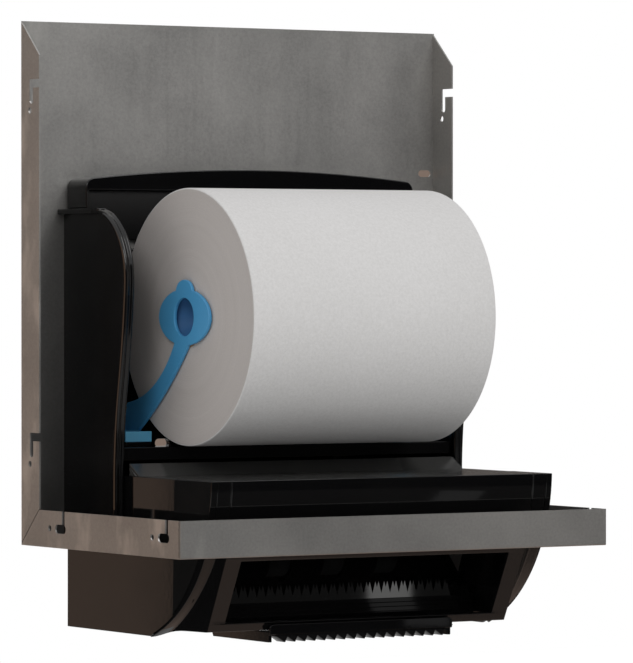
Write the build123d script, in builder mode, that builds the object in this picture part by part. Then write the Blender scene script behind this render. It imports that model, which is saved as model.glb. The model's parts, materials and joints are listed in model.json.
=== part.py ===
from build123d import *
import os
from math import acos, atan2, cos, hypot, pi, radians, sin, sqrt, tan

# Paper towel dispenser module: folded steel bracket, black chassis, roll on swing arms, feed lever.
# X runs to the right, Y into the wall and Z up. The wall face is Y = 0 and the tray's underside is Z = 0,
# so a depth is measured forwards from the wall, along -Y, and a drop downwards from the tray.

hands = {"left": -1, "right": 1}

# Shared fits
butt_gap = 0.2          # between mouldings that stand side by side
run_gap = 0.05          # radial clearance of a shaft in its bore
end_float = 0.4         # beside a turning piece
screw_clear = 0.1       # round a screw, and behind the panel
overrun = 2.0           # how far a cut passes the face it opens

# Towel roll, which the rest is built round
roll_radius = 91.3
roll_length = 201.0
core_bore = 19.5
core_wall = 2.0
roll_back_gap = 9.6     # from the panel to the roll
roll_under_gap = 0.7    # from the rail up to the roll
side_room = 38.5        # beside the roll, for the arms
roll_end = roll_length / 2

# Panel, cheeks and shell, across
sheet = 1.2             # steel of the bracket
panel_wall = 3.8
panel_back = sheet + screw_clear
panel_front = panel_back + panel_wall
panel_half = roll_end + side_room
side_wall = 2.3
side_inner = panel_half + butt_gap
side_outer = side_inner + side_wall
cheek_wall = 2.5
cheek_outer = panel_half
cheek_inner = cheek_outer - cheek_wall
shell_half = cheek_inner - butt_gap

# Roll floor, rail and deck, in height
floor_height = 69.0
floor_wall = 3.0
rail_proud = 2.0
rail_hang = 7.0
rail_top = floor_height + rail_proud
rail_bottom = floor_height - rail_hang
roll_height = rail_top + roll_under_gap + roll_radius
boss_height = 5.0
boss_top = floor_height + boss_height
box_below = 17.5        # top of the box below the floor
box_height = floor_height - box_below
deck_rise = 11.0
deck_wall = 2.5

# Feed and pinch rollers
feed_ahead = 10.0       # of the roll's axis
feed_below = 31.5       # top of the box
feed_radius = 18.0
grip_wall = 3.4
grip_count = 5
grip_length = 26.0
drum_end = 8.0          # from the drum's end to the guide's
shaft_radius = 4.0
shaft_inset = 0.2
bush_length = 8.0
bush_wall = 2.6
bush_flange = 3.0
bush_flange_wall = 2.0
nip_gap = 0.3
pinch_radius = 9.0
pinch_end = 6.0         # from the pinch roller's end to the drum's
pinch_pin = 2.5
pinch_pin_end = 3.0
yoke_gap = 5.0
yoke_wall = 3.0
yoke_front = 5.3        # yoke ahead of and behind the pinch roller's axis
yoke_tail = 8.0
pinch_leaf_gap = 0.3
roll_depth = panel_front + roll_back_gap + roll_radius
feed_depth = roll_depth + feed_ahead
feed_height = box_height - feed_below
pinch_depth = feed_depth - feed_radius - pinch_radius - nip_gap

# Paper slot, rail and rear edges, in depth
deck_tuck = 3.7         # deck's rear edge behind the pinch roller's axis
paper_slot = 5.0
rail_wall = 5.0
notch_length = 14.0
cheek_gap = 4.0
deck_rear = pinch_depth - deck_tuck
rail_depth = deck_rear - paper_slot
floor_notch = rail_depth - notch_length
cheek_rear = rail_depth - cheek_gap     # where the box rises through the tray

# Gears
gear_module = 1.25
pinion_teeth = 14
sector_teeth = 92
sector_cut = 12         # teeth that the sector carries
sector_lead = 2         # of these, teeth past the line of centres
pressure_angle = radians(20)
backlash = 0.35
pinion_tip_share = 1.0
sector_tip_share = 0.8
root_share = 1.25
gear_wall = 7.0
pinion_extra = 1.0
gear_hub = 9.0
gear_gap = 4.5          # from the gears to the guide's ear
bush_gap = 1.5          # from the pinion to the bush
lever_offset = 16.0     # lever's pivot behind the feed shaft
feed_pitch = gear_module * pinion_teeth / 2
sector_pitch = gear_module * sector_teeth / 2
gear_distance = feed_pitch + sector_pitch
gear_inner = cheek_inner - bush_length - bush_gap - pinion_extra - gear_wall
lever_depth = feed_depth - lever_offset
lever_height = feed_height - sqrt(gear_distance**2 - lever_offset**2)

# Lower housing, nose and throat
lever_cover = 15.2      # housing below the lever's pivot
housing_rear = 1.5
housing_wall = 2.5
tray_clear = 0.4
flange_in = 10.5        # screw flange of the cheek, inwards
flange_wall = 3.0
cheek_taper = 1.5       # outer face of the cheek drawn in at the front
cheek_crease = 52.0     # from the front back to where the taper starts
flange_short = 6.0      # of the cheek's upper rear edge
chin_rise = 5.0         # nose above the housing's lower edge
throat_rim = 5.5        # below the throat
throat_top_drop = 4.7
guide_clear = 1.0
guide_ear_wall = 2.5
post_width = 13.0       # nose beside the throat
guide_ahead = 25.0      # of the feed shaft
guide_wall = 8.7
blade_setback = 22.6    # behind the nose's lower edge
nose_rake = 27.2
flare_waist_share = 0.4
flare_fall_share = 0.7
chin_lip = 9.0
nose_ledge = 2.4
box_proud = 8.5         # box's front ahead of the nose's upper edge
belly_above = 4.2       # centre of the curved front above the box's top
belly_spare = 7.3       # its radius past the housing's lower edge
housing_drop = lever_cover - lever_height
nose_drop = housing_drop - chin_rise
throat_bottom_drop = nose_drop - throat_rim
guide_half = gear_inner - gear_gap - guide_ear_wall
throat_half = guide_half - guide_clear
nose_half = throat_half + post_width
guide_rear = feed_depth + guide_ahead
guide_front = guide_rear + guide_wall
nose_bottom_depth = guide_front + blade_setback
nose_top_depth = nose_bottom_depth + nose_rake
belly_height = box_height + belly_above
belly_radius = belly_height + housing_drop + belly_spare
belly_depth = nose_top_depth + box_proud - belly_radius
flange_front = cheek_rear - flange_short

# Throat guide and tear blade, up from the throat's lower edge
chute_tuck = 12.0       # chute's upper edge behind the feed shaft
chute_under = 16.0      # and below it
chute_wall = 2.0
guide_rise = 13.0
chute_end_rise = 17.5
guide_ear_rise = 19.0
blade_end = 4.0
blade_wall = 0.8
blade_tip_rise = 24.0
blade_valley_rise = 15.5
blade_pitch = 7.4
blade_twin = 2.7
blade_notch = 4.2
clamp_end = 3.0
clamp_rise = 7.0
clamp_step = 1.2
clamp_lip = 2.3
clamp_steps = 3
clamp_hang = 3.2        # below the throat's lower edge, behind the chin
chute_top_depth = feed_depth - chute_tuck
chute_top_height = feed_height - chute_under
guide_top_drop = throat_bottom_drop - guide_rise
chute_end_drop = throat_bottom_drop - chute_end_rise
guide_ear_drop = throat_bottom_drop - guide_ear_rise
blade_half = guide_half - blade_end
blade_tip_drop = throat_bottom_drop - blade_tip_rise
blade_valley_drop = throat_bottom_drop - blade_valley_rise
clamp_half = guide_half - clamp_end
clamp_top_drop = throat_bottom_drop - clamp_rise

# Rollers, across
drum_half = guide_half - drum_end
pinch_half = drum_half - pinch_end
yoke_inner = pinch_half + yoke_gap
pinch_reach = yoke_inner + yoke_wall + pinch_pin_end

# Feed lever
lever_inset = 35.0      # from the throat's side in to the lever's arm
lever_arm_wall = 3.0
lever_arm_height = 7.4
lever_boss = 8.0
lever_knee_share = 0.585    # arm's bend, from the pivot to the guide
lever_lean = radians(20)
lever_clear = 1.1       # arm below the chin
bar_clear = 0.9         # bar ahead of the nose
bar_wall = 2.3
bar_rise = 4.0          # bar above the chin
bar_shelf = 2.2
bar_shelf_depth = 19.0
bar_corner = 3.0
grip_teeth = 17
grip_end = 6.3
grip_base = 1.3
grip_depth = 11.0
grip_tooth_share = 0.75
spring_gap = 0.5
spring_width = 8.0
spring_start = 4.7
spring_pitch = 1.6
spring_turns = 4
spring_wall = 0.7
peg_radius = 2.0
peg_gap = 0.1
stop_radius = 2.5
lever_half = throat_half - lever_inset
lever_top = -nose_drop - lever_clear
lever_bottom = lever_top - lever_arm_height
bar_top_drop = nose_drop - bar_rise
grip_pitch = 2 * (lever_half - grip_end) / grip_teeth
spring_outer_x = cheek_inner - bush_length - spring_gap

# Header over the roll
header_dip = 0.9        # header's lower edge below the roll's top
header_end = 8.1
header_crown = 15.9
header_depth = 29.4
header_corner = 7.0
header_wall = 2.5
header_drop = 13.0      # end walls of the header below its front
header_height = roll_height + roll_radius - header_dip

# Upper side plates
side_rim_width = 6.8
side_rim_wall = 2.5
side_crease_back = 25.5
side_crease_step = 0.5
side_lip_out = 5.0
side_lip_depth = 45.0
side_lip_wall = 4.0
toe_gap = 5.0           # from the plate's toe to the box
crown_shares = [(0.555, 1.0), (0.845, 0.938), (1.0, 0.78)]
waist_shares = [(1.0, 0.78), (0.953, 0.61), (0.89, 0.467)]
shin_shares = [(0.89, 0.467), (0.84, 0.333), (0.821, 0.167)]
side_height = header_height - header_drop - end_float
side_depth = (cheek_rear - toe_gap) / shin_shares[-1][0]
side_crease = side_depth - side_crease_back

# Roll arms
arm_gap = 0.5           # between the arm and the roll's end
arm_wall = 2.5
ring_half_width = 35.0
ring_half_height = 20.0
ring_eye = 13.5
tab_width = 34.0        # at its root
tab_tip_width = 20.0
tab_root = 12.0
tab_top = 26.4
tab_corner = 6.0
foot_depth = 37.0
arm_back_shares = [(0.174, -0.189), (0.493, -0.502), (1.157, -0.727)]
arm_front_shares = [(-0.128, -0.189), (0.326, -0.578), (0.945, -0.972)]
arm_heel_share = -0.8
knuckle_radius = 3.0
knuckle_gap = 0.4
knuckle_length = 31.4
pin_radius = 1.5
pin_in = 3.5            # from the arm's inner face out to its pin
lug_wall = 4.0
lug_top = 3.0           # above the pin
lug_blind = 1.2         # ahead of the pin
bracket_base = 1.0
bracket_reach = 21.5
hub_depth = 14.0
hub_seat = 2.6
hub_gap = 0.3
hub_tip = 13.0
hub_wall = 2.0
leaf_wall = 0.6
leaf_width = 5.0
leaf_back = 0.3         # ahead of the knuckle's rear end
leaf_foot = 10.0
leaf_rise = 23.0
arm_inner = roll_end + arm_gap
arm_outer = arm_inner + arm_wall
arm_reach = roll_depth - foot_depth
pin_x = arm_inner + pin_in
pin_height = boss_top + bracket_base + knuckle_radius + knuckle_gap
arm_rise = roll_height - pin_height
knuckle_front = foot_depth + knuckle_length / 2
knuckle_rear = foot_depth - knuckle_length / 2
lug_front = knuckle_front + butt_gap
lug_rear = knuckle_rear - butt_gap

# Steel bracket, one folded sheet
bracket_margin = 37.0   # beside the panel
plate_above = 120.6     # the header's lower edge
tray_margin = 25.5      # ahead of the nose
tray_lip = 26.0
flange_width = 27.0
flange_slope = 25.0     # fall of the flange's cut top
bend_radius = 1.0
seam = 0.9
hook_height = 77.5      # mouth of the lower hook slot
hook_top = 45.0         # mouth of the upper one below the plate's top
hook_mouth = 6.0
hook_leg = 5.0
hook_reach = 15.7
hook_drop = 12.0
lock_hole = 2.25
lock_reach = 13.5
lock_drop = 19.2
tray_hook_depth = 62.0  # leg of the rear tray slot
tray_hook_end = 18.6    # leg of the front one behind the lip
tray_hook_leg = 4.0
tray_hook_height = 13.5
tray_hook_head = 3.2
tray_hook_back = 8.2
tray_lock_back = 19.5
wall_slot_length = 11.0
wall_slot_width = 5.0
wall_slot_rise = 15.6   # above the header's lower edge
wall_slot_edge = 8.5    # from the bracket's side to the slot's centre
half_width = panel_half + bracket_margin
plate_height = header_height + plate_above
tray_depth = nose_top_depth + tray_margin
hook_pitch = plate_height - hook_height - hook_top
tray_hook_pitch = tray_depth - tray_hook_depth - tray_hook_end
wall_slot_height = header_height + wall_slot_rise

# Slots and fasteners
panel_slot_length = 12.0
panel_slot_width = 6.0
low_slot_half = 62.0
low_slot_rise = 2.0     # above the floor
high_slot_half = 87.0
high_slot_drop = 38.4   # below the header's lower edge
screw_radius = 2.1
screw_head = 4.2
screw_head_wall = 2.2
chassis_screw_half = 40.0
chassis_screw_rise = 31.0   # above the floor
chassis_screw_drop = 23.4   # below the header's lower edge
housing_screw_in = 5.5  # from the cheek's inner face
housing_screw_rear = 20.0
housing_screw_back = 10.0   # of the flange's front end
blade_screw = 1.5
blade_screw_head = 2.8
blade_screw_share = 0.74    # outer blade screws, of the blade's half length
blade_screw_rise = 3.5
low_slot_height = floor_height + low_slot_rise
high_slot_height = header_height - high_slot_drop
chassis_screw_low = floor_height + chassis_screw_rise
chassis_screw_high = header_height - chassis_screw_drop
housing_screw_front = flange_front - housing_screw_back
blade_screw_pitch = blade_screw_share * blade_half
blade_screw_drop = throat_bottom_drop - blade_screw_rise

# Centres, as (Y, Z)
roll_centre = (-roll_depth, roll_height)
feed_centre = (-feed_depth, feed_height)
pinch_centre = (-pinch_depth, feed_height)
lever_centre = (-lever_depth, lever_height)


def belly(height, radius=belly_radius):
    return -belly_depth - sqrt(radius**2 - (belly_height - height) ** 2)


def nose(height, inset=0):
    top = -tray_clear
    share = (top - height) / (nose_drop + top)
    slope = atan2(nose_top_depth - nose_bottom_depth, nose_drop + top)
    return -nose_top_depth + share * (nose_top_depth - nose_bottom_depth) + inset / cos(slope)


def deck_under(depth):
    front = -belly(box_height, belly_radius - housing_wall)
    return box_height - deck_wall + deck_rise * (front - depth) / (front - deck_rear)


def arm_point(share):
    return (-roll_depth + share[0] * arm_reach, roll_height + share[1] * arm_rise)


def prism_x(outline, x_from, x_to, mode=Mode.ADD):
    with BuildSketch(Plane.YZ.offset(x_from)) as profile:
        with BuildLine() as rim:
            Polyline(*outline, close=True)
        make_face(rim.edges())
    extrude(profile.sketch, amount=x_to - x_from, mode=mode)


def rod_x(centre, radius, x_from, x_to, mode=Mode.ADD):
    with BuildSketch(Plane.YZ.offset(x_from)) as profile:
        with Locations(centre):
            Circle(radius)
    extrude(profile.sketch, amount=x_to - x_from, mode=mode)


def rod_y(centre, radius, depth_from, depth_to, mode=Mode.ADD):
    with BuildSketch(Plane.XZ.offset(depth_from)) as profile:
        with Locations(centre):
            Circle(radius)
    extrude(profile.sketch, amount=depth_to - depth_from, mode=mode)


def rod_z(centre, radius, z_from, z_to, mode=Mode.ADD):
    with BuildSketch(Plane.XY.offset(z_from)) as profile:
        with Locations(centre):
            Circle(radius)
    extrude(profile.sketch, amount=z_to - z_from, mode=mode)


def block(x_span, depth_span, z_span, mode=Mode.ADD):
    with BuildSketch(Plane.XY.offset(z_span[0])) as profile:
        with Locations((sum(x_span) / 2, -sum(depth_span) / 2)):
            Rectangle(abs(x_span[1] - x_span[0]), abs(depth_span[1] - depth_span[0]))
    extrude(profile.sketch, amount=z_span[1] - z_span[0], mode=mode)


def keep(piece, name):
    piece.part.label = name
    export_step(piece.part, f"parts/{name}.step")


os.makedirs("parts", exist_ok=True)

low_slots = [(-low_slot_half, low_slot_height), (low_slot_half, low_slot_height)]
high_slots = [(-high_slot_half, high_slot_height), (high_slot_half, high_slot_height)]
chassis_screw_places = [
    (side * chassis_screw_half, height)
    for side in hands.values()
    for height in (chassis_screw_low, chassis_screw_high)
]
housing_screw_places = [
    (side * (cheek_inner - housing_screw_in), -depth)
    for side in hands.values()
    for depth in (housing_screw_rear, housing_screw_front)
]
blade_screw_places = [(step * blade_screw_pitch, -blade_screw_drop) for step in (-1, 0, 1)]

# Wall bracket: plate and tray from one sheet, flanges mitred at the fold
with BuildPart() as wall_bracket:
    block((-half_width, half_width), (0, sheet), (0, plate_height))
    block((-half_width, half_width), (0, tray_depth), (0, sheet))
    block((-half_width, half_width), (tray_depth - sheet, tray_depth), (0, tray_lip))
    lip_end = -(tray_depth - sheet - seam)
    plate_flange = [
        (0, seam),
        (-flange_width, tray_lip + seam),
        (-flange_width, plate_height - flange_slope),
        (0, plate_height),
    ]
    tray_flange = [(0, 0), (-flange_width, tray_lip), (lip_end, tray_lip), (lip_end, 0)]
    for side in hands.values():
        prism_x(plate_flange, side * (half_width - sheet), side * half_width)
        prism_x(tray_flange, side * (half_width - sheet), side * half_width)
    low_edges = wall_bracket.edges().filter_by(Axis.X).filter_by_position(Axis.Z, -run_gap, run_gap)
    fillet(low_edges.sort_by(Axis.Y)[0], bend_radius)
    uprights = wall_bracket.edges().filter_by(Axis.Z).filter_by_position(Axis.Y, -run_gap, run_gap)
    fillet(uprights.group_by(Edge.length)[-1], bend_radius)
    # hook slots and lock holes of the flanges
    for side in hands.values():
        with BuildSketch(Plane.YZ.offset(side * (half_width + overrun))):
            for mouth in (hook_height, hook_height + hook_pitch):
                mouth_end = flange_width + overrun
                with Locations((-(mouth_end + hook_reach) / 2, mouth)):
                    Rectangle(mouth_end - hook_reach, hook_mouth)
                with Locations((-hook_reach, mouth + (hook_mouth / 2 - hook_drop) / 2)):
                    Rectangle(hook_leg, hook_mouth / 2 + hook_drop)
                with Locations((-hook_reach, mouth - hook_drop)):
                    Circle(hook_leg / 2)
                with Locations((-lock_reach, mouth - lock_drop)):
                    Circle(lock_hole)
            for leg in (tray_hook_depth, tray_hook_depth + tray_hook_pitch):
                with Locations((-leg, (tray_lip + overrun + tray_hook_height) / 2)):
                    Rectangle(tray_hook_leg, tray_lip + overrun - tray_hook_height)
                with Locations((-leg + tray_hook_back / 2, tray_hook_height)):
                    SlotOverall(tray_hook_back + tray_hook_leg + tray_hook_head, 2 * tray_hook_head)
                with Locations((-leg + tray_lock_back, tray_hook_height)):
                    Circle(lock_hole)
        extrude(amount=-side * (sheet + 2 * overrun), mode=Mode.SUBTRACT)
    # slots to the wall
    with BuildSketch(Plane.XZ.offset(-overrun)):
        slot_x = half_width - wall_slot_edge
        with Locations((-slot_x, wall_slot_height), (slot_x, wall_slot_height)):
            SlotOverall(wall_slot_length, wall_slot_width)
        with Locations(*low_slots):
            SlotOverall(panel_slot_length, panel_slot_width)
        with Locations(*chassis_screw_places):
            Circle(screw_radius + screw_clear)
    extrude(amount=sheet + 2 * overrun, mode=Mode.SUBTRACT)
    # opening for the lower housing
    hatch = (cheek_rear - tray_clear, -belly(sheet) + tray_clear)
    hatch_half = cheek_outer + tray_clear
    block((-hatch_half, hatch_half), hatch, (-overrun, sheet + overrun), Mode.SUBTRACT)
    for place in housing_screw_places:
        rod_z(place, screw_radius + screw_clear, -overrun, sheet + overrun, Mode.SUBTRACT)
keep(wall_bracket, "wall_bracket")

# Back panel with its arched header
with BuildPart() as back_panel:
    block((-panel_half, panel_half), (panel_back, panel_front), (sheet + butt_gap, header_height))
    with BuildSketch(Plane.XZ.offset(panel_back)) as header_face:
        with BuildLine():
            end_top = header_height + header_end
            Polyline((-panel_half, end_top), (-panel_half, header_height))
            Polyline((-panel_half, header_height), (panel_half, header_height), (panel_half, end_top))
            ThreePointArc((panel_half, end_top), (0, header_height + header_crown), (-panel_half, end_top))
        make_face()
        fillet(header_face.vertices().group_by(Axis.Y)[-1], header_corner)
    extrude(amount=header_depth - panel_back)
    with BuildSketch(Plane.XZ.offset(panel_front)):
        add(offset(header_face.sketch_local, -header_wall, mode=Mode.PRIVATE))
        with Locations((0, header_height)):
            Rectangle(2 * (panel_half - header_wall), 2 * header_wall + overrun)
    extrude(amount=header_depth - header_wall - panel_front, mode=Mode.SUBTRACT)
    for side in hands.values():
        end_wall = (side * (panel_half - header_wall), side * panel_half)
        block(end_wall, (panel_back, header_depth), (header_height - header_drop, header_height))
    with BuildSketch(Plane.XZ):
        with Locations(*low_slots, *high_slots):
            SlotOverall(panel_slot_length, panel_slot_width)
        with Locations(*chassis_screw_places):
            Circle(screw_radius + screw_clear)
    extrude(amount=panel_front + overrun, mode=Mode.SUBTRACT)
keep(back_panel, "back_panel")


def side_outline(shift=0, mode=Mode.ADD):
    def place(share):
        return (shift - share[0] * side_depth, share[1] * side_height)

    low = sheet + butt_gap
    with BuildLine() as rim:
        crown = ThreePointArc(*[place(share) for share in crown_shares])
        ThreePointArc(*[place(share) for share in waist_shares])
        shin = ThreePointArc(*[place(share) for share in shin_shares])
        toe = (shin @ 1).X
        Polyline(shin @ 1, (toe, low), (shift - panel_back, low), (shift - panel_back, side_height), crown @ 0)
    make_face(rim.edges(), mode=mode)


# Upper side plates: flat outside, front edge turned in as a rim
for hand, side in hands.items():
    with BuildPart() as side_plate:
        with BuildSketch(Plane.YZ.offset(side * side_inner)):
            side_outline()
        extrude(amount=side * side_wall)
        with BuildSketch(Plane.YZ.offset(side * side_inner)):
            side_outline()
            side_outline(side_rim_wall, Mode.SUBTRACT)
        extrude(amount=-side * side_rim_width)
        with BuildSketch(Plane.YZ.offset(side * side_outer)):
            side_outline()
            with Locations((-side_crease / 2, side_height / 2)):
                Rectangle(side_crease, side_height + overrun, mode=Mode.SUBTRACT)
        extrude(amount=side * side_crease_step)
        lip = (side * side_outer, side * (side_outer + side_lip_out))
        block(lip, (panel_back, side_lip_depth), (side_height - side_lip_wall, side_height))
    keep(side_plate, f"{hand}_side_plate")

# Roll floor with the cross rail and the bosses for the arm brackets
with BuildPart() as roll_floor:
    rail_half = side_inner - side_rim_width - end_float
    floor_span = (floor_height - floor_wall, floor_height)
    block((-panel_half, panel_half), (panel_front + butt_gap, floor_notch), floor_span)
    block((-rail_half, rail_half), (floor_notch, rail_depth), floor_span)
    block((-rail_half, rail_half), (rail_depth - rail_wall, rail_depth), (rail_bottom, rail_top))
    for side in hands.values():
        boss_span = (side * arm_inner, side * (arm_inner + bracket_reach))
        block(boss_span, (lug_rear - lug_wall, lug_front + lug_wall), (floor_height, boss_top))
keep(roll_floor, "roll_floor")

# Cheeks of the lower housing, with the screw flange and, on the left, the peg of the return spring
for hand, side in hands.items():
    with BuildPart() as cheek:
        with BuildSketch(Plane.YZ.offset(side * cheek_inner)):
            with BuildLine():
                low_front = belly(-housing_drop)
                mid_height = (box_height - housing_drop) / 2
                ThreePointArc(
                    (belly(box_height), box_height), (belly(mid_height), mid_height), (low_front, -housing_drop)
                )
                Polyline(
                    (low_front, -housing_drop),
                    (-housing_rear, -housing_drop),
                    (-housing_rear, -tray_clear),
                    (-cheek_rear, -tray_clear),
                    (-cheek_rear, box_height),
                    (belly(box_height), box_height),
                )
            make_face()
        extrude(amount=side * cheek_wall)
        front = belly(belly_height)
        with BuildSketch(Plane.XY.offset(-housing_drop - overrun)):
            with BuildLine():
                Polyline(
                    (side * cheek_outer, front + cheek_crease),
                    (side * (cheek_outer - cheek_taper), front),
                    (side * (cheek_outer + overrun), front),
                    (side * (cheek_outer + overrun), front + cheek_crease),
                    close=True,
                )
            make_face()
        extrude(amount=box_height + housing_drop + 2 * overrun, mode=Mode.SUBTRACT)
        flange_span = (side * cheek_inner, side * (cheek_inner - flange_in))
        block(
            flange_span, (housing_rear + housing_wall + butt_gap, flange_front),
            (-tray_clear - flange_wall, -tray_clear),
        )
        for place in housing_screw_places:
            rod_z(place, screw_radius + screw_clear, -overrun - flange_wall, 0, Mode.SUBTRACT)
        if side < 0:
            peg_y = spring_start + spring_turns * spring_pitch + spring_wall / 2 + peg_gap + peg_radius
            peg_centre = (lever_centre[0] + peg_y, lever_centre[1])
            rod_x(peg_centre, peg_radius, side * cheek_inner, side * (spring_outer_x - spring_width))
    keep(cheek, f"{hand}_cheek")

# Rear wall of the lower housing
with BuildPart() as housing_back:
    block((-shell_half, shell_half), (housing_rear, housing_rear + housing_wall), (-housing_drop, -tray_clear))
keep(housing_back, "housing_back")

# Front shell: curved front above the tray, slanted nose with the throat below, flares to the cheeks
with BuildPart() as front_shell:
    ledge_low = -tray_clear - nose_ledge
    inner_radius = belly_radius - housing_wall
    mid_height = (box_height + ledge_low) / 2
    with BuildSketch(Plane.YZ.offset(-shell_half)):
        with BuildLine():
            ThreePointArc(
                (belly(box_height), box_height), (belly(mid_height), mid_height), (belly(ledge_low), ledge_low)
            )
            ThreePointArc(
                (belly(box_height, inner_radius), box_height),
                (belly(mid_height, inner_radius), mid_height),
                (belly(ledge_low, inner_radius), ledge_low),
            )
            Line((belly(box_height), box_height), (belly(box_height, inner_radius), box_height))
            Line((belly(ledge_low), ledge_low), (belly(ledge_low, inner_radius), ledge_low))
        make_face()
    extrude(amount=2 * shell_half)
    frame = [
        (nose(-tray_clear), -tray_clear),
        (nose(-nose_drop), -nose_drop),
        (nose(-nose_drop, housing_wall), -nose_drop),
        (nose(-tray_clear, housing_wall), -tray_clear),
    ]
    prism_x(frame, -nose_half, nose_half)
    ledge_span = (-belly(ledge_low, inner_radius), -nose(ledge_low))
    block((-nose_half, nose_half), ledge_span, (ledge_low, -tray_clear))
    chin_span = (nose_bottom_depth, nose_bottom_depth - chin_lip)
    block((-nose_half, nose_half), chin_span, (-nose_drop, -nose_drop + housing_wall))
    throat_span = (nose_bottom_depth - chin_lip - overrun, nose_top_depth + overrun)
    block((-throat_half, throat_half), throat_span, (-throat_bottom_drop, -throat_top_drop), Mode.SUBTRACT)
    flare_width = shell_half - nose_half
    for side in hands.values():
        sections = (
            (0, 0, nose_drop),
            (flare_waist_share, flare_fall_share, nose_drop),
            (1, 1, housing_drop),
        )
        for out_share, fall_share, drop in sections:
            def flare(height, inset):
                ahead = nose(max(height, -nose_drop), inset)
                behind = belly(height, belly_radius - inset)
                return (ahead + fall_share * (behind - ahead), height)

            with BuildSketch(Plane.YZ.offset(side * (nose_half + out_share * flare_width))):
                with BuildLine():
                    heights = (-tray_clear, -(tray_clear + drop) / 2, -drop)
                    outer_curve = [flare(height, 0) for height in heights]
                    inner_curve = [flare(height, housing_wall) for height in heights]
                    if fall_share:
                        ThreePointArc(*outer_curve)
                        ThreePointArc(*inner_curve)
                    else:
                        Line(outer_curve[0], outer_curve[-1])
                        Line(inner_curve[0], inner_curve[-1])
                    Line(outer_curve[0], inner_curve[0])
                    Line(outer_curve[-1], inner_curve[-1])
                make_face()
        loft(ruled=True)
keep(front_shell, "front_shell")

# Deck: sloping lid of the box with side skirts, open behind it for the paper
with BuildPart() as deck_cover:
    deck_front = -belly(box_height, inner_radius) - butt_gap
    deck_outline = [
        (-deck_front, deck_under(deck_front)),
        (-deck_front, deck_under(deck_front) + deck_wall),
        (-deck_rear, deck_under(deck_rear) + deck_wall),
        (-deck_rear, deck_under(deck_rear)),
    ]
    prism_x(deck_outline, -shell_half, shell_half)
    skirt = [
        (-deck_front, deck_under(deck_front) + deck_wall / 2),
        (-deck_rear, deck_under(deck_rear) + deck_wall / 2),
        (-deck_rear, box_height - deck_wall),
        (-deck_front, box_height - deck_wall),
    ]
    for side in hands.values():
        prism_x(skirt, side * (shell_half - deck_wall), side * shell_half)
keep(deck_cover, "deck_cover")

# Towel roll on its cardboard core
with BuildPart() as towel_roll:
    rod_x(roll_centre, roll_radius, -roll_end, roll_end)
    core_outer = core_bore + core_wall
    rod_x(roll_centre, core_outer + run_gap, -roll_end - overrun, roll_end + overrun, Mode.SUBTRACT)
keep(towel_roll, "towel_roll")

with BuildPart() as roll_core:
    rod_x(roll_centre, core_outer, -roll_end, roll_end)
    rod_x(roll_centre, core_bore, -roll_end - overrun, roll_end + overrun, Mode.SUBTRACT)
keep(roll_core, "roll_core")

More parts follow.
